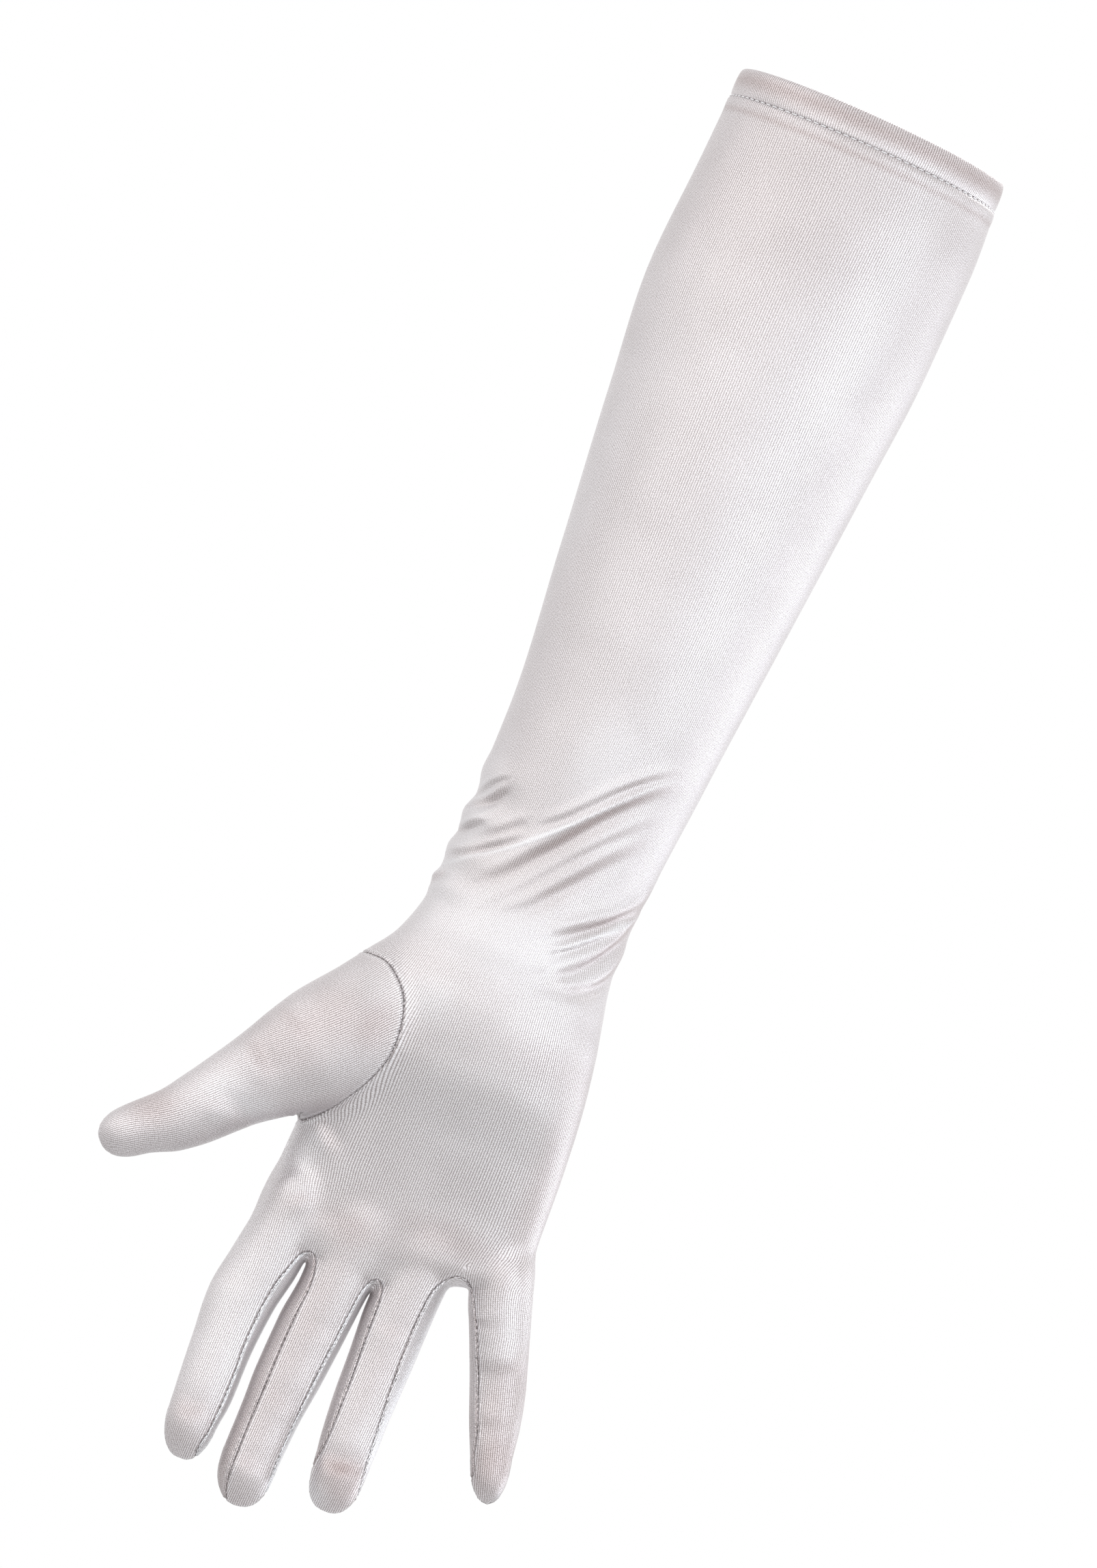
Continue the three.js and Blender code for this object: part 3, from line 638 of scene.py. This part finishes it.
WALES = table("z pitch", [(5, 0.76), (-110, 0.72), (-190, 0.62), (-230, 0.56), (-262, 0.6),
                          (-300, 0.7), (-345, 0.7), (-380, 0.64), (-440, 0.62)])
COURSE = 0.56
FINGER_PITCH, THUMB_PITCH, STRIP_PITCH = 0.65, 0.64, 0.62
STRAIGHT_FROM, STRAIGHT_TO = -340, -354       # from here the ribs run straight into the fingers
LITTLE_FROM, LITTLE_TO = -346, -366           # and from here they swing into the little finger
PALM_MIDDLE, PALM_TO_BACK = 4.6, 81.7         # where the count starts, and how far the back is on
ROUND_JUMP, STEP_JUMP = 60, 8         # ribs between two corners that are a round, or a step, apart


def arc_way(half_x, half_y, angle):
    """Way round an ellipse from its front to an angle."""
    return (half_x + half_y) / 2 * (angle + math.pi / 2) - (half_x - half_y) / 4 * np.sin(2 * angle)


def further_round(p, finger, outer):
    """How much further it is round the outer side of a finger than straight across it."""
    way, across, y = finger_place(p, finger)
    left, right, depth, thick = finger_section(finger, way)
    half_x, half_y = (right - left) / 2, thick / 2
    u = outer * (across - (left + right) / 2) / half_x
    angle = np.arctan2((y - depth) / half_y, u)
    return np.where(u > 0, arc_way(half_x, half_y, -np.abs(angle)) - np.minimum(u, 1) * half_x, 0)


def ribs_on_hand(p):
    """Ribs and courses of the knit, counted, at points of the trank, and the ribs in one round."""
    z = np.maximum(p[:, 2], -352)
    left, right, face, back = (smooth(ARM, z, c) for c in ("left", "right", "front", "back"))
    half_x, half_y = (right - left) / 2, (back - face) / 2
    u, v = (p[:, 0] - (left + right) / 2) / half_x, (p[:, 1] - (face + back) / 2) / half_y
    angle = np.arctan2(v, u)
    angle = np.where(angle > 0, angle - 2 * math.pi, angle)
    held = np.clip(u, -0.97, 0.97)
    straight = arc_way(half_x, half_y, -np.arccos(held)) + (u - held) * half_x
    bulge = np.clip((np.hypot(u, v) - 1.12) / 0.25, 0, 1) * (v < 0)
    place = arc_way(half_x, half_y, angle) * (1 - bulge) + straight * bulge
    turn = math.pi * (half_x + half_y)
    behind = p[:, 1] >= 0

    def towards(aim, share):
        return place + share * (np.where(behind, -aim - PALM_TO_BACK, aim) - place)
    share = np.clip((STRAIGHT_FROM - p[:, 2]) / (STRAIGHT_FROM - STRAIGHT_TO), 0, 1)
    place = towards(p[:, 0] - PALM_MIDDLE, share)
    across = finger_place(p, FINGERS["little"])[1] + FINGERS["little"]["root"][0] - PALM_MIDDLE
    share = np.clip((LITTLE_FROM - p[:, 2]) / (LITTLE_FROM - LITTLE_TO), 0, 1) * (p[:, 0] > 27)
    place = towards(across, share)
    for name, outer, start, end in (("index", -1, STRAIGHT_FROM, STRAIGHT_TO),
                                    ("little", 1, LITTLE_FROM, LITTLE_TO)):
        share = np.clip((start - p[:, 2]) / (start - end), 0, 1) * (outer * p[:, 0] > 16)
        place = place + share * np.where(behind, -outer, outer) * further_round(p, FINGERS[name], outer)
    pitch = smooth(WALES, p[:, 2], "pitch")
    return np.stack([place / pitch, -p[:, 2] / COURSE], 1), turn / pitch


def ribs_on_thumb(p):
    """Ribs and courses on the thumb, where the ribs run a little aslant."""
    way, across, y = finger_place(p, THUMB)
    left, right, depth, thick = finger_section(THUMB, way)
    half_x, half_y = (right - left) / 2, thick / 2
    angle = np.arctan2((y - depth) / half_y, (across - (left + right) / 2) / half_x)
    angle = np.where(angle > 0, angle - 2 * math.pi, angle)
    ribs = arc_way(half_x, half_y, angle) / THUMB_PITCH + 0.2 * way
    return np.stack([ribs, way / COURSE], 1), math.pi * (half_x + half_y) / THUMB_PITCH


def ribs_between(left_finger, right_finger):
    """Counts ribs on a side strip from the middle of each finger's side to its front and back."""
    def ribs(p):
        counts = []
        for finger, side in ((left_finger, 1), (right_finger, -1)):
            way, across, y = finger_place(p, finger)
            left, right, depth, thick = finger_section(finger, way)
            half_x, half_y = (right - left) / 2, thick / 2
            angle = np.arctan2((y - depth) / half_y, side * (across - (left + right) / 2) / half_x)
            counts.append((half_x + half_y) / 2 * angle - (half_x - half_y) / 4 * np.sin(2 * angle))
        nearer = finger_gap(p, left_finger) < finger_gap(p, right_finger)
        count = np.where(nearer, *counts) / STRIP_PITCH + 0.13
        return np.stack([count, -p[:, 2] / COURSE], 1), np.zeros(len(p))
    return ribs


def count_on(corner, turn):
    """Adds a whole round of ribs to the corners past the place where the count starts again."""
    low = corner[:, :, 0].max(1)[:, None] - corner[:, :, 0] > ROUND_JUMP
    corner[:, :, 0] += np.where(low, turn, 0)


def new_object(name, corners, faces, uv=None, extra=None):
    """Smooth mesh object from corners in mm, with the knit's counts and other values on it."""
    mesh = bpy.data.meshes.new(name)
    mesh.from_pydata(np.asarray(corners) * MM, [], np.asarray(faces).tolist())
    mesh.polygons.foreach_set("use_smooth", [True] * len(mesh.polygons))
    if uv is not None:
        mesh.uv_layers.new(name="cloth").data.foreach_set("uv", np.asarray(uv, float).ravel())
    for what, values in (extra or {}).items():
        mesh.attributes.new(what, "FLOAT", "POINT").data.foreach_set("value", values)
    mesh.update()
    thing = bpy.data.objects.new(name, mesh)
    bpy.context.collection.objects.link(thing)
    return thing


def cloth_piece(name, chosen, ribs, painted_tone=0.0):
    """Closed piece of cloth from some of the triangles, with its thickness towards the hand."""
    used, faces = np.unique(tris[chosen], return_inverse=True)
    faces = faces.reshape(-1, 3)
    count = len(used)
    outer = skin[used]
    uv, turn = ribs(points[used])
    solid = [faces, faces[:, ::-1] + count]
    for row in borders(faces):
        a, b = np.array(row[:-1]), np.array(row[1:])
        solid += [np.stack([b, a, a + count], 1), np.stack([b, a + count, b + count], 1)]
    solid = np.concatenate(solid)
    corner = np.concatenate([uv, uv])[solid]
    count_on(corner, np.concatenate([turn, turn])[solid])
    # Where two counts meet out of step, a triangle counts on from its highest corner
    at, facing = (np.tile(value[used], (2, 1))[solid] for value in (points, normals))
    broken = (np.ptp(corner[:, :, 0], axis=1) > STEP_JUMP) & (at[:, :, 2].max(1) < STRAIGHT_FROM + 5)
    at, facing, counts = at[broken], facing[broken].mean(1)[:, None, :], corner[broken, :, 0]
    across = (at[:, :, 1] * facing[:, :, 0] - at[:, :, 0] * facing[:, :, 1]) / FINGER_PITCH
    top = counts.argmax(1)[:, None]
    corner[broken, :, 0] = across + np.take_along_axis(counts - across, top, 1)
    corners = np.concatenate([outer, outer - CLOTH * normals[used]])
    # Side strips get painted light on faces turned to the right and half as much painted shade on faces
    # turned to the left
    turned = np.maximum(normals[used, 0], normals[used, 0] / 2)
    extra = {"painted_light": painted_light[used] + painted_tone * turned, "seam": np.maximum(SEAM_REACH - seam_far[used], 0),
             "way": seam_way[used]}
    return new_object(name, corners, solid, corner, {k: np.tile(v, 2) for k, v in extra.items()})


trank = cloth_piece("glove_trank", owner == -1, ribs_on_hand)
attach(trank, BODY)
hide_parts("trank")

# Thumb: a piece of its own, cut rounder than the hand and set into a round hole in the palm,
# with its seam round the ball of the thumb.

thumb = cloth_piece("glove_thumb", owner == 0, ribs_on_thumb)
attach(thumb, BODY)
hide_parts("thumb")

# Fourchettes: narrow strips of the same satin along the sides of the fingers, each running down
# one finger and up the next, with an arch over the web between them.

SIDE_PAINTED_LIGHT = {"fourchette_index_middle": 0.45, "fourchette_middle_ring": 0.4,
              "fourchette_ring_little": 0.22}     # painted light where the strips turn to the right, half as much painted shade where they turn left
fourchettes = []
for number, name in enumerate(PIECES[1:4], 1):
    _, one, other = name.split("_")
    ribs = ribs_between(FINGERS[one], FINGERS[other])
    piece = cloth_piece("glove_" + name, owner == number, ribs, SIDE_PAINTED_LIGHT[name])
    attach(piece, BODY)
    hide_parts(name)
    fourchettes.append(piece)

# Hem: the top of the sleeve turned in and stitched down with a plain running stitch, so that the
# cloth lies double and its fold is a soft round edge.

HEM_ROUND = 300
HEM_SHADE, SHADE_AT, SHADE_WIDE = -0.28, -3.6, 2.6   # painted shade on the palm side, darker between the fold and the stitches
HEM_PROFILE = [
    # height, how far inside the sleeve's outline
    (-8.8, 0.45), (-8.4, 0.2), (-7.8, -0.02), (-6.6, -0.2), (-5, -0.3), (-3.4, -0.32), (-2, -0.26),
    (-1.1, -0.14), (-0.5, 0.06), (-0.12, 0.4), (0, 0.85), (-0.12, 1.3), (-0.5, 1.6), (-1.2, 1.75),
    (-3, 1.8), (-6, 1.75), (-8.2, 1.7), (-8.8, 1.4), (-8.95, 0.9),
]
angle = np.linspace(0, 2 * math.pi, HEM_ROUND, endpoint=False)
rings = []
for height, inside in HEM_PROFILE:
    row = {c: smooth(ARM, np.array([height]), c)[0] for c in ("left", "right", "front", "back")}
    rings.append(np.stack([
        (row["left"] + row["right"]) / 2 + ((row["right"] - row["left"]) / 2 - inside) * np.cos(angle),
        (row["front"] + row["back"]) / 2 + ((row["back"] - row["front"]) / 2 - inside) * np.sin(angle),
        np.full(HEM_ROUND, height)], 1))
corners = np.concatenate(rings)
faces = []
for i in range(len(rings)):
    for j in range(HEM_ROUND):
        k = (j + 1) % HEM_ROUND
        low, high = i * HEM_ROUND, (i + 1) % len(rings) * HEM_ROUND
        faces.append((low + j, low + k, high + k, high + j))
faces = np.array(faces)
uv, turn = ribs_on_hand(corners)
down = np.concatenate([[0], np.cumsum(np.hypot(*np.diff(np.array(HEM_PROFILE), axis=0).T))])
uv[:, 1] = -np.repeat(down, HEM_ROUND) / COURSE
corner = uv[faces]
count_on(corner, turn[faces])
# Painted shade on the palm side of the hem
hem_painted_shade = HEM_SHADE * np.exp(-((corners[:, 2] - SHADE_AT) / SHADE_WIDE) ** 2) * (corners[:, 1] < 0)
hem = new_object("glove_hem", corners, faces, corner, {"painted_light": hem_painted_shade})
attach(hem, BODY)
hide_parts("hem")

# Stitches: short bars of thread sunk in the seams, coloured dark grey as painted shade for the
# shaded needle holes, so a stitch shows as a short dark dash in the groove, and paler thread that lies
# on the face of the hem.

THREAD_SIDES = 6
SEAM_STITCH = dict(pitch=1.9, length=1.1, radius=0.15, deep=0.27)
HEM_STITCH = dict(pitch=2.4, length=1.75, radius=0.19, deep=0.08)


def stitches(name, paths, pitch, length, radius, deep):
    """One mesh of short bars of thread along paths on the glove."""
    corners, faces = [], []
    for path in paths:
        places, _ = at_steps(path, pitch)
        along = np.gradient(places, axis=0)
        along /= np.linalg.norm(along, axis=1)[:, None]
        out = slope_of(glove_gap, places)
        out /= np.linalg.norm(out, axis=1)[:, None]
        side = np.cross(along, out)
        for centre, run, up, across in zip(places - deep * out, along, out, side):
            base = len(corners)
            for way, size in ((-0.5, 0.25), (-0.42, 0.8), (0, 1), (0.42, 0.8), (0.5, 0.25)):
                for k in range(THREAD_SIDES):
                    turn = 2 * math.pi * k / THREAD_SIDES
                    corners.append(centre + way * length * run
                                   + radius * size * (math.cos(turn) * across + math.sin(turn) * up))
            for i in range(4):
                for k in range(THREAD_SIDES):
                    a, b = base + i * THREAD_SIDES + k, base + i * THREAD_SIDES + (k + 1) % THREAD_SIDES
                    faces.append((a, b, b + THREAD_SIDES, a + THREAD_SIDES))
            faces.append(tuple(base + k for k in reversed(range(THREAD_SIDES))))
            faces.append(tuple(base + 4 * THREAD_SIDES + k for k in range(THREAD_SIDES)))
    mesh = bpy.data.meshes.new(name)
    mesh.from_pydata(np.array(corners) * MM, [], faces)
    thing = bpy.data.objects.new(name, mesh)
    bpy.context.collection.objects.link(thing)
    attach(thing, BODY)
    return thing


seam_thread = stitches("seam_stitches", seam_paths, **SEAM_STITCH)
hem_thread = stitches("hem_stitches", [hem_path], **HEM_STITCH)

# Satin: a warp knit of bright silver-grey yarn. Fine ribs run lengthwise, each a row of small
# loops that catch the light one by one, with a soft, broad sheen over all.


class Shade:
    """A socket of a material, for sums with plain operators."""

    def __init__(self, tree, socket=None):
        self.tree, self.socket = tree, socket

    def node(self, kind, settings=None, inputs=None, out=0):
        """Output of a new node. Its inputs are plain values or other shades, by name or number."""
        node = self.tree.nodes.new("ShaderNode" + kind)
        for name, value in (settings or {}).items():
            setattr(node, name, value)
        for name, value in (inputs or {}).items():
            if isinstance(value, Shade):
                self.tree.links.new(value.socket, node.inputs[name])
            else:
                node.inputs[name].default_value = value
        return Shade(self.tree, node.outputs[out])

    def maths(self, operation, *others):
        return self.node("Math", {"operation": operation}, dict(enumerate((self, *others))))

    def __add__(self, other):
        return self.maths("ADD", other)

    def __sub__(self, other):
        return self.maths("SUBTRACT", other)

    def __mul__(self, other):
        return self.maths("MULTIPLY", other)

    def within(self, low, high):
        return self.maths("MAXIMUM", low).maths("MINIMUM", high)

    def peak(self, middle, wide):
        """1 where this is at a middle value, falling to 0 at a width from it."""
        return ((self - middle).maths("ABSOLUTE") * (-1 / wide) + 1).maths("MAXIMUM", 0.0)

    def noise(self, scale, detail, **more):
        """Soft noise over this vector."""
        return self.node("TexNoise", inputs={"Vector": self, "Scale": scale, "Detail": detail, **more})

    def times(self, other):
        """Product of two colours or vectors."""
        return self.node("VectorMath", {"operation": "MULTIPLY"}, {0: self, 1: other})

    def blend(self, low, high):
        """Colour from low to high as this goes from 0 to 1."""
        return self.node("Mix", {"data_type": "RGBA"}, {0: self, 6: low, 7: high}, 2)


def plain_material(name, colour, roughness, metallic=0.0):
    """New material of one colour, and the node of its surface."""
    material = bpy.data.materials.new(name)
    material.use_nodes = True
    surface = material.node_tree.nodes["Principled BSDF"]
    surface.inputs["Base Color"].default_value = (*colour, 1)
    surface.inputs["Roughness"].default_value = roughness
    surface.inputs["Metallic"].default_value = metallic
    return material, surface


SATIN_DARK = (0.32, 0.283, 0.278, 1)
SATIN_LIGHT = (0.88, 0.845, 0.862, 1)
SATIN_MOST = (0.97, 0.97, 0.97)
SATIN_ROUGH, SATIN_METAL = 0.34, 0.75
SHADE_TINT_RGB = (0.85, 1.05, 1.1)         # painted shade is a little warmer, painted light a little cooler
RIB_ROUND, LOOP_SHARE, GRAIN_SHARE, PATCH_SHARE = 0.8, 0.3, 1.3, 0.22
WEAVE_HIGH = 0.12 * MM
# The knit's contrast rises under painted shade and falls under painted light, and is higher on the hand
CONTRAST, HAND_CONTRAST, PAINTED_LIGHT_CONTRAST = 0.92, 0.35, -1.6
HAND_FROM, HAND_OVER = 0.27, 0.03     # metres below the opening
HOOK_PITCH, HOOK_WIDE = 1.5, 0.15     # sewing draws little hooks into the cloth beside each seam, with painted shade in each hook
HOOK_SHADE, HOOK_DEEP = 0.65, 1.5
# Painted highlight in a band beside each seam
HIGHLIGHT_AT, HIGHLIGHT_WIDE, SEAM_HIGHLIGHT = 1.1, 1 / 1.8, 0.08
HEM_EDGE, HEM_EDGE_WIDE, HEM_EDGE_SHADE = 0.0128, 0.0016, 0.16    # painted shade along the line where the turned-in edge ends inside
satin, surface = plain_material("silver_satin", SATIN_LIGHT[:3], SATIN_ROUGH, SATIN_METAL)
start = Shade(satin.node_tree)
cloth = start.node("UVMap", {"uv_map": "cloth"})
rib_at = start.node("SeparateXYZ", inputs={0: cloth}, out=0)
course_at = start.node("SeparateXYZ", inputs={0: cloth}, out=1)
rib = (rib_at * math.pi).maths("SINE").maths("ABSOLUTE").maths("POWER", RIB_ROUND)
step = rib_at.maths("FLOOR") * 0.5 + course_at
loop = (step * (2 * math.pi)).maths("COSINE") * 0.5 + 0.5
grain = cloth.noise(1.3, 2.0, Roughness=0.7) - 0.5
place = start.node("TexCoord", out=3)
height_at = start.node("SeparateXYZ", inputs={0: place}, out=2)
patch = place.noise(55.0, 2.0) - 0.5
weave = rib * (loop * LOOP_SHARE + (1 - LOOP_SHARE)) + grain * GRAIN_SHARE
# This attribute holds the painted light and shade of the palm side, the folds, the side strips and the
# hem
painted_light_at = start.node("Attribute", {"attribute_name": "painted_light"}, out=2)
far = start.node("Attribute", {"attribute_name": "seam"}, out=2) * -1 + SEAM_REACH
way_at = start.node("Attribute", {"attribute_name": "way"}, out=2)
wander = place.noise(500.0, 1.0) - 0.5
spell = place.noise(190.0, 1.0) - 0.5
hook_at = (way_at * (2 * math.pi / HOOK_PITCH) + wander * 14).maths("SINE") * 0.3 + (wander * 0.6 + 0.36)
hook = (far - hook_at).peak(0.0, HOOK_WIDE) * (spell * 4 + 0.85).within(0.4, 1.0)
seam_highlight = far.peak(HIGHLIGHT_AT, HIGHLIGHT_WIDE)
hem_edge_shade = height_at.peak(-HEM_EDGE, HEM_EDGE_WIDE)
# Painted highlight beside the seams, and painted shade under the hem's turned-in edge
painted_light_at = painted_light_at + seam_highlight * SEAM_HIGHLIGHT - hem_edge_shade * HEM_EDGE_SHADE
on_hand = (height_at * (-1 / HAND_OVER) - HAND_FROM / HAND_OVER).within(0.0, 1.0)
contrast = painted_light_at * PAINTED_LIGHT_CONTRAST + on_hand * HAND_CONTRAST + CONTRAST
tone = ((weave * 0.95 + patch * PATCH_SHARE - 0.5) * contrast + 0.5).within(0.0, 1.0)
# Painted shade darkens the colour in the hooks beside the seams
hook_shade_factor = hook * -HOOK_SHADE + 1
light_and_shade_tint = [(painted_light_at * share + 1) * hook_shade_factor for share in SHADE_TINT_RGB]
light_and_shade_tint = start.node("CombineXYZ", inputs=dict(enumerate(light_and_shade_tint)))
shade = tone.blend(SATIN_DARK, SATIN_LIGHT).times(light_and_shade_tint)
shade = start.node("VectorMath", {"operation": "MINIMUM"}, {0: shade, 1: SATIN_MOST})
bump = start.node("Bump", inputs={"Strength": 0.5, "Distance": WEAVE_HIGH,
                                  "Height": weave - hook * HOOK_DEEP})
rough = grain * -0.25 + SATIN_ROUGH
for name, value in (("Base Color", shade), ("Roughness", rough), ("Normal", bump)):
    satin.node_tree.links.new(value.socket, surface.inputs[name])
for piece in (trank, thumb, hem, *fourchettes):
    piece.data.materials.append(satin)

seam_thread.data.materials.append(plain_material("thread_painted_shade", (0.2, 0.18, 0.18), 0.7)[0])
hem_thread.data.materials.append(plain_material("pale_thread", (0.82, 0.81, 0.82), 0.6)[0])

# Stage: a round pale floor in a white studio, soft lights round the glove, which keeps the form
# that it has on an arm, and a camera that looks square on to the palm, turned on its axis so that
# the sleeve runs up to the right.

CAMERA_FAR = 2.1
PIXEL = 0.2 * MM         # one pixel of the photo's frame, at the middle of the glove
FRAME_HIGH = 2296        # pixels
SLANT = math.radians(24)
AIM = Vector((-0.0082, 0, -0.2145))

view = bpy.data.cameras.new("camera")
view.sensor_fit = "VERTICAL"
view.sensor_height = 36
view.lens = view.sensor_height * CAMERA_FAR / (FRAME_HIGH * PIXEL)
camera = bpy.data.objects.new("camera", view)
bpy.context.collection.objects.link(camera)
right = Vector((math.cos(SLANT), 0, math.sin(SLANT)))
up = Vector((-math.sin(SLANT), 0, math.cos(SLANT)))
turn = Matrix((right, up, right.cross(up))).transposed()
camera.matrix_world = Matrix.Translation(AIM + Vector((0, -CAMERA_FAR, 0))) @ turn.to_4x4()
bpy.context.scene.camera = camera

FLOOR_DEEP, FLOOR_ROUND = 0.62, 0.9
bpy.ops.mesh.primitive_circle_add(vertices=96, radius=FLOOR_ROUND, fill_type="NGON",
                                  location=(AIM.x, 0, -FLOOR_DEEP))
floor = bpy.context.object
floor.name = "floor"
floor.data.materials.append(plain_material("pale_floor", (0.45, 0.45, 0.45), 0.8)[0])

# The lamps' places and all watts but the rim's are a rounded fit of renders by single lamps to the
# photo's brightness. They were not chosen by hand
LAMPS = [
    # name, degrees round from the camera towards the right, place out and up, width, watts, colour
    ("rim", 150, (1.16, 1.16), 1.2, 27, (1, 1, 1)),
    ("right", 110, (1.77, -0.53), 1.2, 6.6, (0.9, 0.98, 1.06)),
    ("left", -70, (1.7, 0.4), 1.2, 2.6, (1, 0.97, 0.96)),
    ("near_left", -25, (0.8, -0.15), 0.5, 0.55, (1, 0.98, 0.98)),
    ("near_middle", 10, (0.8, -0.15), 0.5, 0.3, (0.92, 1, 1.06)),
    ("near_right", 45, (0.8, -0.15), 0.5, 0.9, (0.88, 0.98, 1.06)),
]
for name, round_by, (out, height), wide, watts, colour in LAMPS:
    turn = math.radians(round_by)
    lamp = bpy.data.lights.new(name, "AREA")
    lamp.size = wide
    lamp.energy = watts
    lamp.color = colour
    light = bpy.data.objects.new(name, lamp)
    light.location = (AIM.x + out * math.sin(turn), -out * math.cos(turn), height)
    light.rotation_euler = (light.location - AIM).to_track_quat("Z", "Y").to_euler()
    bpy.context.collection.objects.link(light)

world = bpy.data.worlds.new("studio")
world.use_nodes = True
world.node_tree.nodes["Background"].inputs["Color"].default_value = (1, 1, 1, 1)
world.node_tree.nodes["Background"].inputs["Strength"].default_value = 1.0
bpy.context.scene.world = world
bpy.context.scene.view_settings.view_transform = "Standard"
